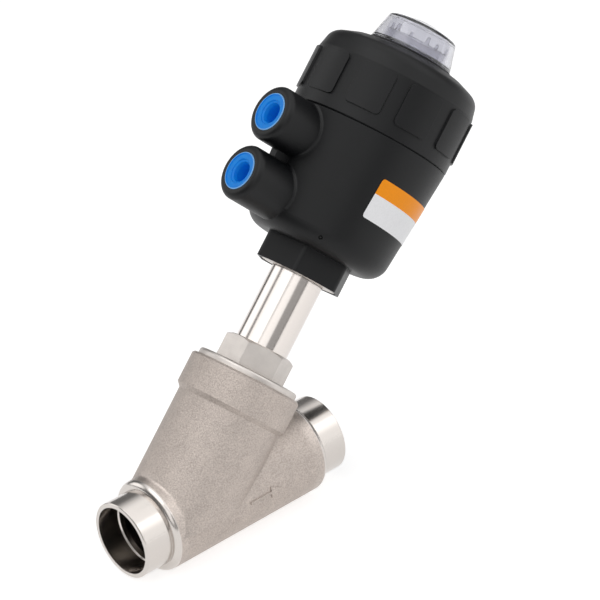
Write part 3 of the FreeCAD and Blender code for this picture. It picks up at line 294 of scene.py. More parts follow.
class SeatValveShape(bpy.types.PropertyGroup):
    """Sizes of the fine pieces that a user would change."""

    grain: length_property("Cast grain", "Width of a pebble of the blasted casting, as drawn", 0.6)
    neck_round: length_property("Neck root", "Radius of the root between neck and run", 2.2)
    dome_wall: length_property("Dome wall", "Wall of the clear dome", 2.1)
    dome_ledge: length_property("Dome ledge", "Height of the dome's inner ledge above its foot", 10.0)
    sleeve_height: length_property("Sleeve height", "Top of the clear sleeve above the cover", 5.1)
    plug_lip: length_property("Plug lip", "Rounding of a plug's rim", 0.3)
    label_corner: length_property("Label corner", "Corner radius of the label", 1.2)
    return_wire: length_property("Return spring wire", "Wire of the outer spring", 3.4)
    inner_wire: length_property("Inner spring wire", "Wire of the inner spring", 2.4)
    packing_wire: length_property("Packing spring wire", "Wire of the packing spring", 1.4)


def add(tree, kind, inputs=None, **settings):
    """Adds a shader node with its settings, and values or other nodes' outputs on its inputs."""
    made = tree.nodes.new(kind)
    for key, value in settings.items():
        setattr(made, key, value)
    for key, value in (inputs or {}).items():
        if isinstance(value, bpy.types.NodeSocket):
            tree.links.new(value, made.inputs[key])
        else:
            made.inputs[key].default_value = value
    return made


def new_material(name):
    """An empty node material with an output and a Principled shader.

    Returns the material, its tree, the shader and the Object coordinates in metres.
    """
    material = bpy.data.materials.new(name)
    material.use_nodes = True
    tree = material.node_tree
    tree.nodes.clear()
    shader = add(tree, "ShaderNodeBsdfPrincipled")
    add(tree, "ShaderNodeOutputMaterial", {"Surface": shader.outputs[0]})
    return material, tree, shader, add(tree, "ShaderNodeTexCoord").outputs["Object"]


def feed(tree, shader, **values):
    """Links sockets to the shader's inputs, or sets constants on them; _ stands for a space."""
    for key, value in values.items():
        socket = shader.inputs[key.replace("_", " ")]
        if isinstance(value, bpy.types.NodeSocket):
            tree.links.new(value, socket)
        else:
            socket.default_value = value


def cast_stainless():
    """Investment-cast stainless steel, bead blasted: dull, warm light grey with a pebbled skin.

    The weld ends and the mouth of the neck are machined: there the pebbles end, and the steel
    is brighter and smoother, with fine turning lines. Inside the run the colour is painted
    dark grey: painted shade in the bore.
    """
    material, tree, shader, place = new_material("cast_stainless_blasted")
    colours = bpy.context.scene.seat_valve_finish
    grain = bpy.context.scene.seat_valve_shape.grain
    x, y, z = add(tree, "ShaderNodeSeparateXYZ", {0: place}).outputs
    ring = add(tree, "ShaderNodeCombineXYZ", {"Y": y, "Z": z}).outputs[0]
    off_axis = add(tree, "ShaderNodeVectorMath", {0: ring}, operation="LENGTH").outputs["Value"]
    middle = sum(PIPE_ENDS) / 2 * MM
    to_middle = add(tree, "ShaderNodeMath", {0: x, 1: middle}, operation="SUBTRACT").outputs[0]
    to_middle = add(tree, "ShaderNodeMath", {0: to_middle}, operation="ABSOLUTE").outputs[0]
    spigot = (PIPE_ENDS[1] - PIPE_ENDS[0]) / 2 * MM - SPIGOT_LENGTH * MM
    on_spigot = add(tree, "ShaderNodeMapRange", {
        VALUE: to_middle,
        FROM_LOW: spigot - SHOULDER * MM, FROM_HIGH: spigot + (SHOULDER_BLEND - SHOULDER) * MM,
    }).outputs[0]
    dressed = add(tree, "ShaderNodeMapRange", {
        VALUE: to_middle,
        FROM_LOW: spigot - DRESSED_START * MM, FROM_HIGH: spigot - DRESSED_END * MM,
    }).outputs[0]
    height = add(tree, "ShaderNodeVectorMath", {
        0: place, 1: tuple(STEM_AXIS),
    }, operation="DOT_PRODUCT").outputs["Value"]
    mouth = (COLLAR_TOP - MOUTH_BEVEL + STEM[0] @ STEM_AXIS) * MM
    on_mouth = add(tree, "ShaderNodeMapRange", {
        VALUE: height, FROM_LOW: mouth, FROM_HIGH: mouth + MOUTH_BLEND * MM,
    }).outputs[0]
    machined = add(tree, "ShaderNodeMath", {
        0: on_spigot, 1: on_mouth,
    }, operation="MAXIMUM").outputs[0]
    # Mask of the surfaces inside the bore, which get painted shade below.
    wall = add(tree, "ShaderNodeMapRange", {
        VALUE: on_spigot, TO_LOW: (PIPE_RADIUS + BORE_SKIN) * MM, TO_HIGH: CAST_BORE * MM,
    }).outputs[0]
    inside = add(tree, "ShaderNodeMath", {0: off_axis, 1: wall}, operation="LESS_THAN").outputs[0]

    # The pebbles that glass beads leave are about 0.3 mm wide. That is too fine to show, so the
    # user's grain draws them coarser.
    pebbles = add(tree, "ShaderNodeTexNoise", {
        "Vector": place, "Scale": 1 / grain, "Detail": 2.0, "Roughness": 0.6,
    }).outputs[0]
    cloud = add(tree, "ShaderNodeTexNoise", {
        "Vector": place, "Scale": 1 / (7 * MM), "Detail": 3.0,
    }).outputs[0]
    tone = add(tree, "ShaderNodeMapRange", {
        VALUE: cloud, **NOISE_SPAN, TO_LOW: 0.95, TO_HIGH: 1.05,
    }).outputs[0]
    speckle = add(tree, "ShaderNodeMapRange", {
        VALUE: pebbles, **NOISE_SPAN, TO_LOW: 0.78, TO_HIGH: 1.16,
    }).outputs[0]
    shade = add(tree, "ShaderNodeMath", {0: tone, 1: speckle}, operation="MULTIPLY").outputs[0]
    cast = add(tree, "ShaderNodeVectorMath", {
        0: tuple(colours.cast_colour)[:3], "Scale": shade,
    }, operation="SCALE").outputs[0]
    outside = add(tree, "ShaderNodeMix", {
        "Factor": machined, COLOUR_A: cast, COLOUR_B: tuple(colours.turned_colour),
    }, data_type="RGBA").outputs[2]
    # Painted shade: inside the bore the colour is mixed to a dark grey, for the shade that falls in
    # there.
    colour = add(tree, "ShaderNodeMix", {
        "Factor": inside, COLOUR_A: outside, COLOUR_B: linear("#6f6962"),
    }, data_type="RGBA").outputs[2]
    cast_rough = add(tree, "ShaderNodeMapRange", {
        VALUE: dressed, TO_LOW: 0.56, TO_HIGH: 0.42,
    }).outputs[0]
    rough = add(tree, "ShaderNodeMapRange", {
        VALUE: machined, TO_LOW: cast_rough, TO_HIGH: 0.2,
    }).outputs[0]

    # Turning lines are about 0.1 mm apart. That is too fine to show, so they are drawn at 0.3 mm.
    turned = add(tree, "ShaderNodeCombineXYZ", {"X": x, "Y": off_axis}).outputs[0]
    lines = add(tree, "ShaderNodeTexNoise", {
        "Vector": turned, "Scale": 1 / (0.3 * MM), "Detail": 1.0,
    }).outputs[0]
    skin = add(tree, "ShaderNodeMix", {
        "Factor": machined, NUMBER_A: pebbles, NUMBER_B: lines,
    }).outputs[0]
    pebble_depth = add(tree, "ShaderNodeMapRange", {
        VALUE: dressed, TO_LOW: 1.0, TO_HIGH: 0.35,
    }).outputs[0]
    depth = add(tree, "ShaderNodeMapRange", {
        VALUE: machined, TO_LOW: pebble_depth, TO_HIGH: 0.05,
    }).outputs[0]
    edges = add(tree, "ShaderNodeBevel", {"Radius": 0.3 * MM}, samples=4).outputs[0]
    bump = add(tree, "ShaderNodeBump", {
        "Strength": depth, "Distance": 0.13 * MM, "Height": skin, "Normal": edges,
    }).outputs[0]
    feed(tree, shader, Base_Color=colour, Metallic=1.0, Roughness=rough, Normal=bump)
    return material


def turned_stainless():
    """Turned and milled stainless steel: light warm grey, satin, with tool marks round the stem.

    The marks are about 0.1 mm apart. That is too fine to show, so they are drawn at 0.35 mm.
    """
    material, tree, shader, place = new_material("turned_stainless")
    colours = bpy.context.scene.seat_valve_finish
    height = add(tree, "ShaderNodeVectorMath", {
        0: place, 1: tuple(STEM_AXIS),
    }, operation="DOT_PRODUCT").outputs["Value"]
    marks = add(tree, "ShaderNodeTexNoise", {
        "W": height, "Scale": 1 / (0.35 * MM), "Detail": 2.0,
    }, noise_dimensions="1D").outputs[0]
    cloud = add(tree, "ShaderNodeTexNoise", {
        "Vector": place, "Scale": 1 / (5 * MM), "Detail": 2.0,
    }).outputs[0]
    shade = add(tree, "ShaderNodeMapRange", {
        VALUE: cloud, **NOISE_SPAN, TO_LOW: 0.93, TO_HIGH: 1.03,
    }).outputs[0]
    tone = add(tree, "ShaderNodeVectorMath", {
        0: tuple(colours.turned_colour)[:3], "Scale": shade,
    }, operation="SCALE").outputs[0]
    rough = add(tree, "ShaderNodeMapRange", {
        VALUE: marks, **NOISE_SPAN, TO_LOW: 0.38, TO_HIGH: 0.48,
    }).outputs[0]
    edges = add(tree, "ShaderNodeBevel", {"Radius": 0.2 * MM}, samples=4).outputs[0]
    bump = add(tree, "ShaderNodeBump", {
        "Strength": 0.12, "Distance": 0.03 * MM, "Height": marks, "Normal": edges,
    }).outputs[0]
    feed(tree, shader, Base_Color=tone, Metallic=1.0, Roughness=rough, Normal=bump)
    return material


def polished_stainless():
    """Ground and polished stainless bar: mirror bright, with faint grinding lines round the stem.

    The lines are finer than 0.1 mm. That is too fine to show, so they are drawn at 0.4 mm.
    """
    material, tree, shader, place = new_material("polished_stainless")
    height = add(tree, "ShaderNodeVectorMath", {
        0: place, 1: tuple(STEM_AXIS),
    }, operation="DOT_PRODUCT").outputs["Value"]
    lines = add(tree, "ShaderNodeTexNoise", {
        "W": height, "Scale": 1 / (0.4 * MM), "Detail": 2.0,
    }, noise_dimensions="1D").outputs[0]
    rough = add(tree, "ShaderNodeMapRange", {
        VALUE: lines, **NOISE_SPAN, TO_LOW: 0.12, TO_HIGH: 0.18,
    }).outputs[0]
    tone = add(tree, "ShaderNodeMix", {
        "Factor": lines, COLOUR_A: linear("#d6cec9"), COLOUR_B: linear("#ded8d3"),
    }, data_type="RGBA").outputs[2]
    bump = add(tree, "ShaderNodeBump", {
        "Strength": 0.04, "Distance": 0.02 * MM, "Height": lines,
    }).outputs[0]
    feed(tree, shader, Base_Color=tone, Metallic=1.0, Roughness=rough, Normal=bump)
    return material


def spring_steel():
    """Hard-drawn spring wire: grey steel, half bright, with cloudy drawing marks under oil."""
    material, tree, shader, place = new_material("drawn_spring_steel")
    cloud = add(tree, "ShaderNodeTexNoise", {
        "Vector": place, "Scale": 1 / (1.5 * MM), "Detail": 3.0,
    }).outputs[0]
    tone = add(tree, "ShaderNodeMix", {
        "Factor": cloud, COLOUR_A: linear("#77777a"), COLOUR_B: linear("#9a9a9c"),
    }, data_type="RGBA").outputs[2]
    rough = add(tree, "ShaderNodeMapRange", {VALUE: cloud, TO_LOW: 0.28, TO_HIGH: 0.4}).outputs[0]
    feed(tree, shader, Base_Color=tone, Metallic=1.0, Roughness=rough)
    return material


def soft_polymer(name, light, dark, roughness, grain):
    """Moulded or cut polymer whose tone drifts between two colours, with a fine grain in mm.

    The grain is drawn coarser than the real one, which is too fine to show.
    """
    material, tree, shader, place = new_material(name)
    cloud = add(tree, "ShaderNodeTexNoise", {
        "Vector": place, "Scale": 1 / (6 * MM), "Detail": 3.0,
    }).outputs[0]
    tone = add(tree, "ShaderNodeMix", {
        "Factor": cloud, COLOUR_A: dark, COLOUR_B: light,
    }, data_type="RGBA").outputs[2]
    pits = add(tree, "ShaderNodeTexNoise", {
        "Vector": place, "Scale": 1 / (grain * MM), "Detail": 2.0,
    }).outputs[0]
    bump = add(tree, "ShaderNodeBump", {
        "Strength": 0.15, "Distance": 0.04 * MM, "Height": pits,
    }).outputs[0]
    feed(tree, shader, Base_Color=tone, Roughness=roughness, Normal=bump)
    return material


def soft_polyethylene():
    """Soft blue polyethylene, moulded: satin and waxy, with a painted highlight on its thin rim."""
    material, tree, shader, place = new_material("soft_blue_polyethylene")
    blue = tuple(bpy.context.scene.seat_valve_finish.plug_colour)
    wax = add(tree, "ShaderNodeTexNoise", {
        "Vector": place, "Scale": 1 / (2.5 * MM), "Detail": 3.0,
    }).outputs[0]
    body = add(tree, "ShaderNodeMix", {
        "Factor": wax, COLOUR_A: linear("#067ce4"), COLOUR_B: blue,
    }, data_type="RGBA").outputs[2]
    # Painted highlight: the marked outer rim is mixed to a pale blue, for the light that its edge
    # catches.
    rim = add(tree, "ShaderNodeAttribute", attribute_name=RIM_HIGHLIGHT_MARK).outputs["Fac"]
    tone = add(tree, "ShaderNodeMix", {
        "Factor": rim, COLOUR_A: body, COLOUR_B: linear("#86bff8"),
    }, data_type="RGBA").outputs[2]
    rough = add(tree, "ShaderNodeMapRange", {VALUE: wax, TO_LOW: 0.4, TO_HIGH: 0.5}).outputs[0]
    bump = add(tree, "ShaderNodeBump", {
        "Strength": 0.15, "Distance": 0.04 * MM, "Height": wax,
    }).outputs[0]
    feed(tree, shader, Base_Color=tone, Roughness=rough, Specular_IOR_Level=0.3, Normal=bump)
    return material


def glass_filled_nylon():
    """Glass-filled nylon, moulded in a finely eroded mould: near black and satin, with soft edges.

    The eroded grain is about 0.1 mm. That is too fine to show, so it is drawn at 0.45 mm.
    """
    material, tree, shader, place = new_material("black_nylon_moulded")
    colours = bpy.context.scene.seat_valve_finish
    cloud = add(tree, "ShaderNodeTexNoise", {
        "Vector": place, "Scale": 1 / (9 * MM), "Detail": 3.0,
    }).outputs[0]
    shade = add(tree, "ShaderNodeMapRange", {
        VALUE: cloud, **NOISE_SPAN, TO_LOW: 0.88, TO_HIGH: 1.12,
    }).outputs[0]
    tone = add(tree, "ShaderNodeVectorMath", {
        0: tuple(colours.housing_colour)[:3], "Scale": shade,
    }, operation="SCALE").outputs[0]
    grain = add(tree, "ShaderNodeTexNoise", {
        "Vector": place, "Scale": 1 / (0.45 * MM), "Detail": 2.0,
    }).outputs[0]
    rough = add(tree, "ShaderNodeMapRange", {
        VALUE: grain, **NOISE_SPAN, TO_LOW: 0.4, TO_HIGH: 0.48,
    }).outputs[0]
    edges = add(tree, "ShaderNodeBevel", {"Radius": 0.2 * MM}, samples=6).outputs[0]
    bump = add(tree, "ShaderNodeBump", {
        "Strength": 0.1, "Distance": 0.03 * MM, "Height": grain, "Normal": edges,
    }).outputs[0]
    feed(tree, shader, Base_Color=tone, Roughness=rough, Specular_IOR_Level=0.28, Normal=bump)
    return material


def clear_polycarbonate():
    """Clear polycarbonate, moulded: glossy, with a faint grey body and soft flow ripples."""
    material, tree, shader, place = new_material("clear_polycarbonate")
    ripple = add(tree, "ShaderNodeTexNoise", {
        "Vector": place, "Scale": 1 / (3 * MM), "Detail": 1.0,
    }).outputs[0]
    rough = add(tree, "ShaderNodeMapRange", {VALUE: ripple, TO_LOW: 0.0, TO_HIGH: 0.05}).outputs[0]
    bump = add(tree, "ShaderNodeBump", {
        "Strength": 0.05, "Distance": 0.2 * MM, "Height": ripple,
    }).outputs[0]
    feed(tree, shader, Base_Color=linear("#d6d6dc"), Transmission_Weight=1.0, IOR=1.58,
         Roughness=rough, Normal=bump)
    return material


def label_film():
    """Printed polyester label: a warm colour band over a white field, satin, with a fibre tone.

    Real fibres are too fine to show, so they are drawn at 0.8 mm.
    """
    material, tree, shader, place = new_material("label_film_printed")
    colours = bpy.context.scene.seat_valve_finish
    up = add(tree, "ShaderNodeAttribute", attribute_name=HEIGHT_SHARE).outputs["Fac"]
    fields = add(tree, "ShaderNodeValToRGB", {0: up})
    ramp = fields.color_ramp
    ramp.interpolation = "CONSTANT"
    ramp.elements[0].color = linear("#f6f6f8")
    ramp.elements[1].position = LABEL_BAND
    ramp.elements[1].color = tuple(colours.label_colour)
    fibres = add(tree, "ShaderNodeTexNoise", {
        "Vector": place, "Scale": 1 / (0.8 * MM), "Detail": 2.0,
    }).outputs[0]
    shade = add(tree, "ShaderNodeMapRange", {
        VALUE: fibres, **NOISE_SPAN, TO_LOW: 0.95, TO_HIGH: 1.0,
    }).outputs[0]
    tone = add(tree, "ShaderNodeVectorMath", {
        0: fields.outputs[0], "Scale": shade,
    }, operation="SCALE").outputs[0]
    rough = add(tree, "ShaderNodeMapRange", {VALUE: fibres, TO_LOW: 0.3, TO_HIGH: 0.45}).outputs[0]
    feed(tree, shader, Base_Color=tone, Roughness=rough, Specular_IOR_Level=0.3)
    return material


def mesh_object(name, points, sharp, wrap_u=True):
    """A mesh from an array of points on a (u, v) grid, in metres.

    Each cell of the grid is a quad. The last column joins the first, and so does the last row
    where u is wrapped. A row that shrinks to one point becomes a pole when doubles are merged.
    Edges that turn by more than sharp degrees stay sharp.
    """
    rows, columns = points.shape[:2]
    u, v = np.meshgrid(np.arange(rows if wrap_u else rows - 1), np.arange(columns), indexing="ij")
    after_u, after_v = (u + 1) % rows, (v + 1) % columns
    quads = np.stack([
        u * columns + v, after_u * columns + v, after_u * columns + after_v, u * columns + after_v,
    ], axis=-1).reshape(-1, 4)
    mesh = bpy.data.meshes.new(name)
    mesh.from_pydata(points.reshape(-1, 3).tolist(), [], quads.tolist())
    work = bmesh.new()
    work.from_mesh(mesh)
    bmesh.ops.remove_doubles(work, verts=work.verts, dist=MERGED)
    bmesh.ops.recalc_face_normals(work, faces=work.faces)
    work.to_mesh(mesh)
    work.free()
    mesh.shade_smooth()
    mesh.set_sharp_from_angle(angle=math.radians(sharp))
    made = bpy.data.objects.new(name, mesh)
    bpy.context.scene.collection.objects.link(made)
    return made


def own_radius(mesh, own):
    """Distance of each point of a mesh from a piece's own axis, in mm."""
    arm = mesh_points(mesh) - own[0]
    return np.hypot(arm @ own[1], arm @ own[2])


def mark(mesh, name, values):
    """Keeps one number per point on the mesh, for a material to read."""
    kept = mesh.attributes.new(name, "FLOAT", "POINT")
    kept.data.foreach_set("value", values.astype(np.float32))


def capped(rings):
    """A row of rings with its two ends closed, each by a ring drawn in to its own middle."""
    first, last = [
        np.repeat(ring.mean(axis=0)[None, None], len(ring), axis=1) for ring in (rings[0], rings[-1])
    ]
    return np.concatenate([first, rings, last])


def rounded_outline(corners):
    """Closed outline of (radius, height) points with each corner (radius, height, r) rounded.

    A rounding is a fan of points at r from its centre, which lies on the corner's bisector
    at r over the sine of half its angle.
    """
    outline = []
    for i, corner in enumerate(corners):
        here = np.array(corner[:2])
        if len(corner) < 3:
            outline.append(here)
            continue
        back = np.array(corners[i - 1][:2]) - here
        ahead = np.array(corners[(i + 1) % len(corners)][:2]) - here
        back = back / np.linalg.norm(back)
        ahead = ahead / np.linalg.norm(ahead)
        half = math.acos(np.clip(back @ ahead, -1.0, 1.0)) / 2
        middle = back + ahead
        centre = here + middle / np.linalg.norm(middle) * corner[2] / math.sin(half)
        first = here + back * corner[2] / math.tan(half) - centre
        last = here + ahead * corner[2] / math.tan(half) - centre
        share = np.linspace(0.0, 1.0, ROUND_STEPS)[:, None]
        fan = first * (1 - share) + last * share
        fan = fan / np.linalg.norm(fan, axis=1)[:, None] * corner[2]
        outline.extend(centre + fan)
    return np.array(outline)


def turned_piece(name, corners, own=STEM):
    """Ring or cup about a piece's own axis: its outline carried round in a circle."""
    outline = rounded_outline(corners)
    turn = np.linspace(0.0, 2 * math.pi, TURN_STEPS, endpoint=False)
    radius, height = outline[:, 0][:, None], outline[:, 1][:, None]
    rings = np.stack([radius * np.cos(turn), radius * np.sin(turn), height + 0 * turn], axis=-1)
    return mesh_object(name, placed(rings, own), SHARP_TURNED)


def plug_outline(lip):
    """Outline of a hollow plug: foot, stem, rim with a raised lip, stepped mouth, hole, floor."""
    return [
        (0.0, -PLUG_FOOT),
        (PLUG_STEM - PLUG_CHAMFER[0], -PLUG_FOOT),
        (PLUG_STEM, PLUG_CHAMFER[1] - PLUG_FOOT),
        (PLUG_STEM, -PLUG_SEAT),
        (PLUG_RIM, -PLUG_SEAT),
        (PLUG_RIM, PLUG_PROUD, lip),
        (PLUG_RIM - PLUG_LIP[0], PLUG_PROUD, PLUG_LIP[1]),
        (PLUG_RIM - PLUG_LIP_FOOT[0], PLUG_LIP_FOOT[1]),
        *PLUG_MOUTH,
        (PLUG_HOLE, PLUG_FLOOR_EDGE[0] - PLUG_FOOT, PLUG_FLOOR_EDGE[1]),
        (0.0, PLUG_FLOOR - PLUG_FOOT),
    ]


def dome_outline(wall, ledge):
    """Outline of the dome: skirt, flange, side and crown, then crown, ledge and flare inside."""
    foot, top = COVER_TOP, DOME_TOP
    inner = DOME_SIDE - wall
    return [
        (DOME_SKIRT - wall, DOME_BOTTOM, DOME_SKIRT_ROUND),
        (DOME_SKIRT, DOME_BOTTOM, DOME_SKIRT_ROUND),
        (DOME_SKIRT, foot + DOME_LIFT),
        (DOME_FOOT_RADIUS, foot + DOME_LIFT, DOME_FLANGE_ROUND[0]),
        (DOME_FOOT_RADIUS, foot + DOME_FLANGE, DOME_FLANGE_ROUND[1]),
        (DOME_SIDE, foot + DOME_SIDE_TOP, DOME_SIDE_ROUND),
        (DOME_CROWN, top - DOME_CROWN_FALL, DOME_CROWN_ROUND[0]),
        (0.0, top),
        (0.0, top - wall),
        (DOME_CROWN, top - wall - DOME_CROWN_FALL, DOME_CROWN_ROUND[1]),
        *[(inner + off, ledge + rise, rounding) for off, rise, rounding in DOME_LEDGE],
        (DOME_SKIRT - wall + DOME_FLARE[0], foot + DOME_FLARE[1], DOME_FLARE_ROUND),
        (DOME_SKIRT - wall, foot, DOME_FLARE_ROUND),
    ]


def coil_piece(name, wire, middle, bottom, top, turns):
    """Compression spring with flattened ends.

    Its line is a helix of radius middle whose rise is slow over the first and last turn, and
    the wire is a circle square to that line; points past the two seats are pressed flat.
    """
    share = np.linspace(0.0, 1.0, int(turns * COIL_STEPS) + 1)
    rise = share - END_SLOWING * np.sin(2 * math.pi * share) / math.pi
    angle = 2 * math.pi * turns * share
    out = np.stack([np.cos(angle), np.sin(angle), 0 * angle], axis=-1)
    line = out * middle
    line[:, 2] = bottom + wire / 2 + rise * (top - bottom - wire)
    along = np.gradient(line, axis=0)
    along = along / np.linalg.norm(along, axis=1)[:, None]
    up = np.cross(along, out)
    spin = np.linspace(0.0, 2 * math.pi, WIRE_STEPS, endpoint=False)[None, :, None]
    tube = line[:, None] + wire / 2 * (out[:, None] * np.cos(spin) + up[:, None] * np.sin(spin))
    tube[..., 2] = np.clip(tube[..., 2], bottom, top)
    return mesh_object(name, placed(capped(tube), STEM), SHARP_SWEPT, wrap_u=False)


def guide_sleeve(top):
    """Thin upright sleeve inside the dome, with tabs that stand up from its rim.

    A ring whose rim is at the height top, raised by the tabs' height wherever the cosine of the
    tab count times the angle is near one.
    """
    turn = np.linspace(0.0, 2 * math.pi, SLEEVE_STEPS, endpoint=False)[:, None]
    raised = np.clip((np.cos(TABS * turn) - TAB_START) * TAB_STEEPNESS, 0.0, 1.0)
    rim = top + TAB_HEIGHT * raised
    inner, outer = SLEEVE_RADIUS - SLEEVE_WALL, SLEEVE_RADIUS
    radius = np.array([[inner, outer, outer, outer - SLEEVE_CHAMFER, inner + SLEEVE_CHAMFER, inner]])
    foot = DOME_BOTTOM - SLEEVE_SUNK + 0 * turn
    edge = rim - SLEEVE_CHAMFER
    height = np.concatenate([foot, foot, edge, rim, rim, edge], axis=1)
    rings = np.stack([radius * np.cos(turn), radius * np.sin(turn), height], axis=-1)
    return mesh_object("guide_sleeve", placed(rings, STEM), SHARP_TURNED)


def label_piece(corner):
    """Thin film on the housing's leaning wall, tilted by a little, with rounded corners.

    Unrolled, it is a rectangle with u along and v up. Where u is nearer to an end than the corner
    radius, its half height shrinks as a circle's does: the root of the radius squared less the
    distance into the corner squared takes the radius's place. Each point is turned by the tilt,
    and its distance along over the wall's radius is its angle about the stem. The radius grows
    evenly with the height, as the wall's does. Each point keeps its share of the label's height.
    """
    radius, angle, height = about_stem("label")
    low, high = [
        radius[abs(height - level) < SAME_LEVEL] for level in (LABEL_BOTTOM, LABEL_TOP)
    ]
    thick = high.max() - high.min()
    sweep = angle.max() - angle.min()
    centre = angle.min() + sweep / 2
    u = np.linspace(0.0, 1.0, LABEL_STEPS[0])[:, None]
    v = np.linspace(-1.0, 1.0, LABEL_STEPS[1])[None, :]
    edge = high.max() * sweep * np.minimum(u, 1 - u)
    inside = np.clip(corner - edge, 0.0, corner)
    up = v * (LABEL_HEIGHT / 2 - corner + np.sqrt(corner ** 2 - inside ** 2))
    along = high.max() * sweep * (u - 0.5)
    level = LABEL_LEVEL + up * math.cos(LABEL_TILT) - along * math.sin(LABEL_TILT)
    along = along * math.cos(LABEL_TILT) + up * math.sin(LABEL_TILT)
    turn = centre + along / high.max()
    share = (level - LABEL_BOTTOM) / (LABEL_TOP - LABEL_BOTTOM)
    outer = low.max() + (high.max() - low.max()) * share
    front, back = [
        np.stack([skin * np.cos(turn), skin * np.sin(turn), level], axis=-1)
        for skin in (outer, outer - thick)
    ]
    shell = np.concatenate([front, back[:, ::-1]], axis=1)
    film = mesh_object("label_film", placed(capped(shell), STEM), SHARP_SWEPT, wrap_u=False)
    arm = mesh_points(film.data) - STEM[0]
    level = arm @ STEM_AXIS - LABEL_LEVEL
    along = (np.arctan2(arm @ STEM[2], arm @ STEM[1]) - centre) * high.max()
    up = level * math.cos(LABEL_TILT) + along * math.sin(LABEL_TILT)
    mark(film.data, HEIGHT_SHARE, up / LABEL_HEIGHT + 0.5)
    return film


def neck_meets_run(angle):
    """Points, in mm, where the neck's side at an angle about the stem comes out of the run.

    The point is at the neck's radius from the stem, so it is y = r sin(angle) off the middle, and
    on the run at the height z = sqrt(R squared - y squared). Returned with the neck's normal.
    """
    origin, side, across, along = STEM
    out = np.cos(angle)[:, None] * side + np.sin(angle)[:, None] * across
    level = np.sqrt(RUN_RADIUS ** 2 - (NECK_RADIUS * np.sin(angle)) ** 2)
    height = (level - NECK_RADIUS * out[:, 2] - origin[2]) / along[2]
    return origin + NECK_RADIUS * out + height[:, None] * along, out, height


def root_strip(name, start, end, radius):
    """Rounded root of the neck, for angles from start to end about the stem.

    A ball of the given radius rests in the corner: its middle is off the meeting point by the
    radius times the sum of both normals over one plus their product. The strip is the ball's
    arc between the two points where it touches, set a little under each surface and closed by
    a point inside the steel.
    """
    angle = np.linspace(start, end, ROOT_STEPS)
    meet, out, _ = neck_meets_run(angle)
    run_out = meet * np.array([0.0, 1.0, 1.0]) / RUN_RADIUS
    both = out + run_out
    centre = meet + radius * both / (1 + (out * run_out).sum(axis=1))[:, None]
    origin, along = STEM[0], STEM_AXIS
    on_neck = centre - radius * out - origin
    level = (on_neck @ along)[:, None] * along
    radial = on_neck - level
    radial = radial / np.linalg.norm(radial, axis=1)[:, None]
    on_neck = origin + level + radial * (NECK_RADIUS - SUNK)
    on_run = centre - radius * run_out
    ring = on_run * np.array([0.0, 1.0, 1.0])
    ring = ring / np.linalg.norm(ring, axis=1)[:, None]
    on_run = on_run * np.array([1.0, 0.0, 0.0]) + ring * (RUN_RADIUS - SUNK)
    share = np.linspace(0.0, 1.0, ROOT_ARC_STEPS)[None, :, None]
    first, last = (on_neck - centre)[:, None], (on_run - centre)[:, None]
    fan = first * (1 - share) + last * share
    long = np.linalg.norm(first, axis=-1, keepdims=True) * (1 - share)
    long = long + np.linalg.norm(last, axis=-1, keepdims=True) * share
    arc = centre[:, None] + fan / np.linalg.norm(fan, axis=-1, keepdims=True) * long
    buried = (meet - ROOT_DEPTH * both / np.linalg.norm(both, axis=1)[:, None])[:, None]
    strip = capped(np.concatenate([arc, buried], axis=1)) * MM
    return mesh_object(name, strip, SHARP_SWEPT, wrap_u=False)


def give(piece, slot, body, *nodes):
    """Puts a piece on its body, with its slot's material, in place of the CAD nodes named."""
    piece.data.materials.append(finish(slot))
    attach(piece, body)
    if nodes:
        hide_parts(*nodes)


FINISHES = {
    "cast_stainless": cast_stainless,
    "turned_stainless": turned_stainless,
    "polished_stainless": polished_stainless,
    "spring_steel": spring_steel,
    "black_plastic": glass_filled_nylon,
    "clear_plastic": clear_polycarbonate,
    "label_film": label_film,
    # Pressed graphite is dark grey and dull.
    "graphite": lambda: soft_polymer(
        "pressed_graphite", linear("#4a4a4c"), linear("#333335"), roughness=0.45, grain=0.3),
    # Turned PTFE is a warm white with a waxy sheen.
    "white_plastic": lambda: soft_polymer(
        "turned_ptfe", linear("#f1efe9"), linear("#e4e1d8"), roughness=0.4, grain=0.5),
    # Moulded nitrile rubber is near black and matt.
    "black_rubber": lambda: soft_polymer(
        "nitrile_rubber", linear("#242426"), linear("#1a1a1b"), roughness=0.6, grain=0.3),
    # Machined acetal is pale grey and satin.
    "grey_plastic": lambda: soft_polymer(
        "grey_acetal", linear("#c4c6c8"), linear("#b4b6b9"), roughness=0.4, grain=0.4),
    "blue_plastic": soft_polyethylene,
}
finishes = {}


def finish(slot):
    """The material of a slot, made once."""
    if slot not in finishes:
        finishes[slot] = FINISHES[slot]()
    return finishes[slot]


class SEATVALVE_OT_finish(bpy.types.Operator):
    """Gives every CAD piece the finish of its material slot"""

    bl_idname = "seatvalve.finish"
    bl_label = "Finish the pieces"

    def execute(self, context):
        for node in frame["nodes"].values():
            slot = node.data.materials[0].name.split(".")[0]
            for held in node.material_slots:
                held.material = finish(slot)
        return {"FINISHED"}


class SEATVALVE_OT_neck_root(bpy.types.Operator):
    """Rounds the root where the leaning neck leaves the run"""

    bl_idname = "seatvalve.neck_root"
    bl_label = "Neck root"

    def execute(self, context):
        radius = context.scene.seat_valve_shape.neck_round / MM
        lowest = math.asin(math.sqrt(RUN_RADIUS ** 2 - ROOT_LEVEL ** 2) / NECK_RADIUS)
        spread = np.linspace(0.0, lowest, SEARCH_STEPS)
        heights = neck_meets_run(spread)[2]
        highest = float(np.interp(-ROOT_TOP, -heights, spread))
        for name, start, end in (
            ("neck_root_inlet", math.pi - lowest, math.pi + lowest),
            ("neck_root_left", highest, lowest),
            ("neck_root_right", -highest, -lowest),
        ):
            give(root_strip(name, start, end, radius), "cast_stainless", "valve")
        return {"FINISHED"}


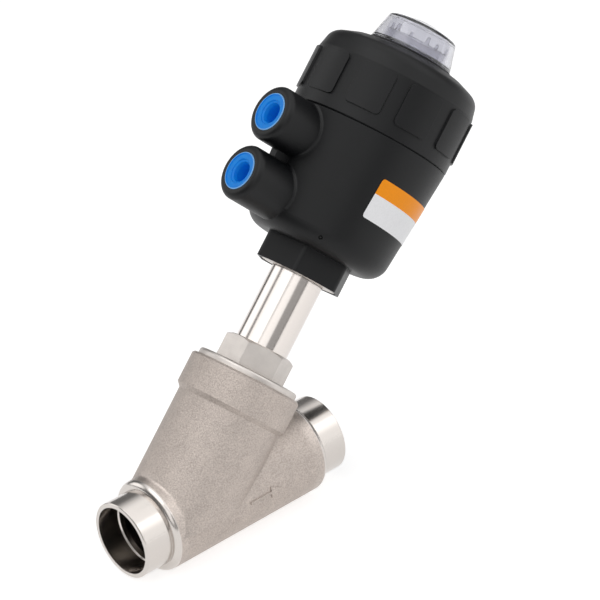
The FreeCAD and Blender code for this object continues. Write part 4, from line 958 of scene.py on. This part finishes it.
class SEATVALVE_OT_plugs(bpy.types.Operator):
    """Makes the hollow soft plugs in the two air ports"""

    bl_idname = "seatvalve.plugs"
    bl_label = "Port plugs"

    def execute(self, context):
        lip = context.scene.seat_valve_shape.plug_lip / MM
        for name in ("lower", "upper"):
            own = port_axes("air_port_" + name)
            plug = turned_piece("soft_plug_" + name, plug_outline(lip), own)
            # The outer rim is marked for its painted highlight.
            mark(plug.data, RIM_HIGHLIGHT_MARK, own_radius(plug.data, own) > PLUG_RIM - PAINTED_HIGHLIGHT_RIM)
            give(plug, "blue_plastic", "actuator", "port_plug_" + name)
        return {"FINISHED"}


class SEATVALVE_OT_dome(bpy.types.Operator):
    """Makes the clear dome of the position indicator and the clear guide sleeve inside it"""

    bl_idname = "seatvalve.dome"
    bl_label = "Clear dome"

    def execute(self, context):
        shape = context.scene.seat_valve_shape
        outline = dome_outline(shape.dome_wall / MM, COVER_TOP + shape.dome_ledge / MM)
        dome = turned_piece("clear_dome", outline)
        give(dome, "clear_plastic", "actuator", "indicator_dome")
        give(guide_sleeve(COVER_TOP + shape.sleeve_height / MM), "clear_plastic", "actuator")
        return {"FINISHED"}


class SEATVALVE_OT_springs(bpy.types.Operator):
    """Makes the three coil springs with round wire"""

    bl_idname = "seatvalve.springs"
    bl_label = "Springs"

    def execute(self, context):
        shape = context.scene.seat_valve_shape
        for name, node, wire, turns in (
            ("return_coil", "return_spring", shape.return_wire, 6.0),
            ("inner_coil", "inner_spring", shape.inner_wire, 6.0),
            ("packing_coil", "packing_spring", shape.packing_wire, 4.0),
        ):
            outer, bottom, top = reach(node)
            coil = coil_piece(name, wire / MM, outer - wire / MM / 2, bottom, top, turns)
            if node == "packing_spring":
                give(coil, "spring_steel", "valve", node)
                continue
            give(coil, "spring_steel", "actuator", node)
            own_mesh(coil)
        return {"FINISHED"}


class SEATVALVE_OT_label(bpy.types.Operator):
    """Makes the thin label on the housing, with rounded corners and no print"""

    bl_idname = "seatvalve.label"
    bl_label = "Label"

    def execute(self, context):
        film = label_piece(context.scene.seat_valve_shape.label_corner / MM)
        give(film, "label_film", "actuator", "label")
        return {"FINISHED"}


def area_light(name, place, size, power):
    """A soft rectangular lamp, turned to the middle of the valve, with place and size in metres."""
    lamp = bpy.data.lights.new(name, "AREA")
    lamp.shape = "RECTANGLE"
    lamp.size, lamp.size_y = size
    lamp.energy = power
    made = bpy.data.objects.new(name, lamp)
    made.location = place
    middle = (cad_box[0] + cad_box[1]) / 2
    made.rotation_euler = (middle - Vector(place)).to_track_quat("-Z", "Y").to_euler()
    bpy.context.scene.collection.objects.link(made)


def pale_floor():
    """Matt pale grey floor, lifted to white for rays of the camera, of gloss and through glass."""
    material, tree, shader, place = new_material("pale_floor")
    cloud = add(tree, "ShaderNodeTexNoise", {
        "Vector": place, "Scale": 1 / (60 * MM), "Detail": 2.0,
    }).outputs[0]
    rough = add(tree, "ShaderNodeMapRange", {VALUE: cloud, TO_LOW: 0.85, TO_HIGH: 0.95}).outputs[0]
    seen = add(tree, "ShaderNodeLightPath").outputs
    lift = add(tree, "ShaderNodeMath", {
        0: seen["Is Camera Ray"], 1: seen["Is Glossy Ray"],
    }, operation="MAXIMUM").outputs[0]
    lift = add(tree, "ShaderNodeMath", {
        0: lift, 1: seen["Is Transmission Ray"],
    }, operation="MAXIMUM").outputs[0]
    strength = add(tree, "ShaderNodeMath", {0: lift, 1: FLOOR_LIFT}, operation="MULTIPLY").outputs[0]
    feed(tree, shader, Base_Color=linear("#e6e6e6"), Roughness=rough,
         Emission_Color=(1.0, 1.0, 1.0, 1.0), Emission_Strength=strength)
    return material


def studio_world():
    """White for the camera and through glass, a studio room for gloss, and plain grey for the rest.

    The room has a softbox above, a panel behind and a grey front, over a dark seam at the floor.
    """
    world = bpy.data.worlds.new("studio")
    world.use_nodes = True
    tree = world.node_tree
    tree.nodes.clear()
    towards = add(tree, "ShaderNodeTexCoord").outputs["Generated"]
    near = add(tree, "ShaderNodeVectorMath", {0: towards, 1: SOFTBOX}, operation="DOT_PRODUCT")
    above = add(tree, "ShaderNodeMapRange", {
        VALUE: near.outputs["Value"], FROM_LOW: SOFTBOX_REACH[0], FROM_HIGH: SOFTBOX_REACH[1],
        TO_LOW: ROOM_BACK, TO_HIGH: SOFTBOX_LEVEL,
    }, interpolation_type="SMOOTHSTEP").outputs[0]
    _, y, z = add(tree, "ShaderNodeSeparateXYZ", {0: towards}).outputs
    front = add(tree, "ShaderNodeMapRange", {
        VALUE: y, FROM_LOW: FRONT_REACH[0], FROM_HIGH: FRONT_REACH[1],
        TO_LOW: ROOM_BACK, TO_HIGH: FRONT_LEVEL,
    }).outputs[0]
    gloss = add(tree, "ShaderNodeMath", {0: above, 1: front}, operation="MAXIMUM").outputs[0]
    beside = add(tree, "ShaderNodeVectorMath", {0: towards, 1: BACK_PANEL}, operation="DOT_PRODUCT")
    panel = add(tree, "ShaderNodeMapRange", {
        VALUE: beside.outputs["Value"],
        FROM_LOW: BACK_PANEL_REACH[0], FROM_HIGH: BACK_PANEL_REACH[1],
        TO_LOW: 0.0, TO_HIGH: BACK_PANEL_LEVEL,
    }, interpolation_type="SMOOTHSTEP").outputs[0]
    gloss = add(tree, "ShaderNodeMath", {0: gloss, 1: panel}, operation="MAXIMUM").outputs[0]
    seam = add(tree, "ShaderNodeMapRange", {
        VALUE: z, FROM_LOW: 0.0, FROM_HIGH: SEAM_TOP, TO_LOW: SEAM_LEVEL, TO_HIGH: 1.0,
    }).outputs[0]
    gloss = add(tree, "ShaderNodeMath", {0: gloss, 1: seam}, operation="MULTIPLY").outputs[0]
    seen = add(tree, "ShaderNodeLightPath").outputs
    level = add(tree, "ShaderNodeMix", {
        "Factor": seen["Is Glossy Ray"], NUMBER_A: ROOM_LEVEL, NUMBER_B: gloss,
    }).outputs[0]
    white = add(tree, "ShaderNodeMath", {
        0: seen["Is Camera Ray"], 1: seen["Is Transmission Ray"],
    }, operation="MAXIMUM").outputs[0]
    level = add(tree, "ShaderNodeMix", {
        "Factor": white, NUMBER_A: level, NUMBER_B: 1.0,
    }).outputs[0]
    sky = add(tree, "ShaderNodeBackground", {"Color": (1.0, 1.0, 1.0, 1.0), "Strength": level})
    add(tree, "ShaderNodeOutputWorld", {"Surface": sky.outputs[0]})
    return world


class SEATVALVE_OT_stage(bpy.types.Operator):
    """Sets the pale floor, the soft studio light and the camera of the product view"""

    bl_idname = "seatvalve.stage"
    bl_label = "Stage"

    def execute(self, context):
        scene = context.scene
        scene.view_settings.view_transform = "Standard"
        ground = cad_box[0].z
        sheet = bpy.data.meshes.new("floor")
        ends = ((-1, -1), (1, -1), (1, 1), (-1, 1))
        corners = [(FLOOR_REACH * a, FLOOR_REACH * b, ground) for a, b in ends]
        sheet.from_pydata(corners, [], [(0, 1, 2, 3)])
        sheet.materials.append(pale_floor())
        floor = bpy.data.objects.new("floor", sheet)
        scene.collection.objects.link(floor)
        scene.world = studio_world()
        for lamp in LAMPS:
            area_light(*lamp)
        camera = bpy.data.cameras.new("camera")
        camera.lens = CAMERA_LENS
        camera.sensor_width = CAMERA_SENSOR
        camera.clip_start, camera.clip_end = CAMERA_CLIP
        view = bpy.data.objects.new("camera", camera)
        turn = Matrix((CAMERA_RIGHT, -CAMERA_DOWN, -CAMERA_AHEAD)).transposed().to_4x4()
        view.matrix_world = Matrix.Translation(CAMERA_PLACE) @ turn
        scene.collection.objects.link(view)
        scene.camera = view
        return {"FINISHED"}


class SEATVALVE_PT_panel(bpy.types.Panel):
    """Lists the steps that dress the valve"""

    bl_idname = "SEATVALVE_PT_panel"
    bl_label = "Seat valve"
    bl_space_type = "VIEW_3D"
    bl_region_type = "UI"
    bl_category = "Seat valve"

    def draw(self, context):
        for group in (context.scene.seat_valve_finish, context.scene.seat_valve_shape):
            for name in group.__annotations__:
                self.layout.prop(group, name)
        for step in STEPS:
            self.layout.operator(step.bl_idname)


STEPS = (
    SEATVALVE_OT_finish,
    SEATVALVE_OT_neck_root,
    SEATVALVE_OT_plugs,
    SEATVALVE_OT_dome,
    SEATVALVE_OT_springs,
    SEATVALVE_OT_label,
    SEATVALVE_OT_stage,
)
CLASSES = (SeatValveFinish, SeatValveShape) + STEPS + (SEATVALVE_PT_panel,)


def register():
    for item in CLASSES:
        bpy.utils.register_class(item)
    bpy.types.Scene.seat_valve_finish = bpy.props.PointerProperty(type=SeatValveFinish)
    bpy.types.Scene.seat_valve_shape = bpy.props.PointerProperty(type=SeatValveShape)


def unregister():
    del bpy.types.Scene.seat_valve_shape
    del bpy.types.Scene.seat_valve_finish
    for item in reversed(CLASSES):
        bpy.utils.unregister_class(item)


def main():
    register()
    bpy.ops.seatvalve.finish()
    bpy.ops.seatvalve.neck_root()
    bpy.ops.seatvalve.plugs()
    bpy.ops.seatvalve.dome()
    bpy.ops.seatvalve.springs()
    bpy.ops.seatvalve.label()
    bpy.ops.seatvalve.stage()


if __name__ == "__main__":
    main()
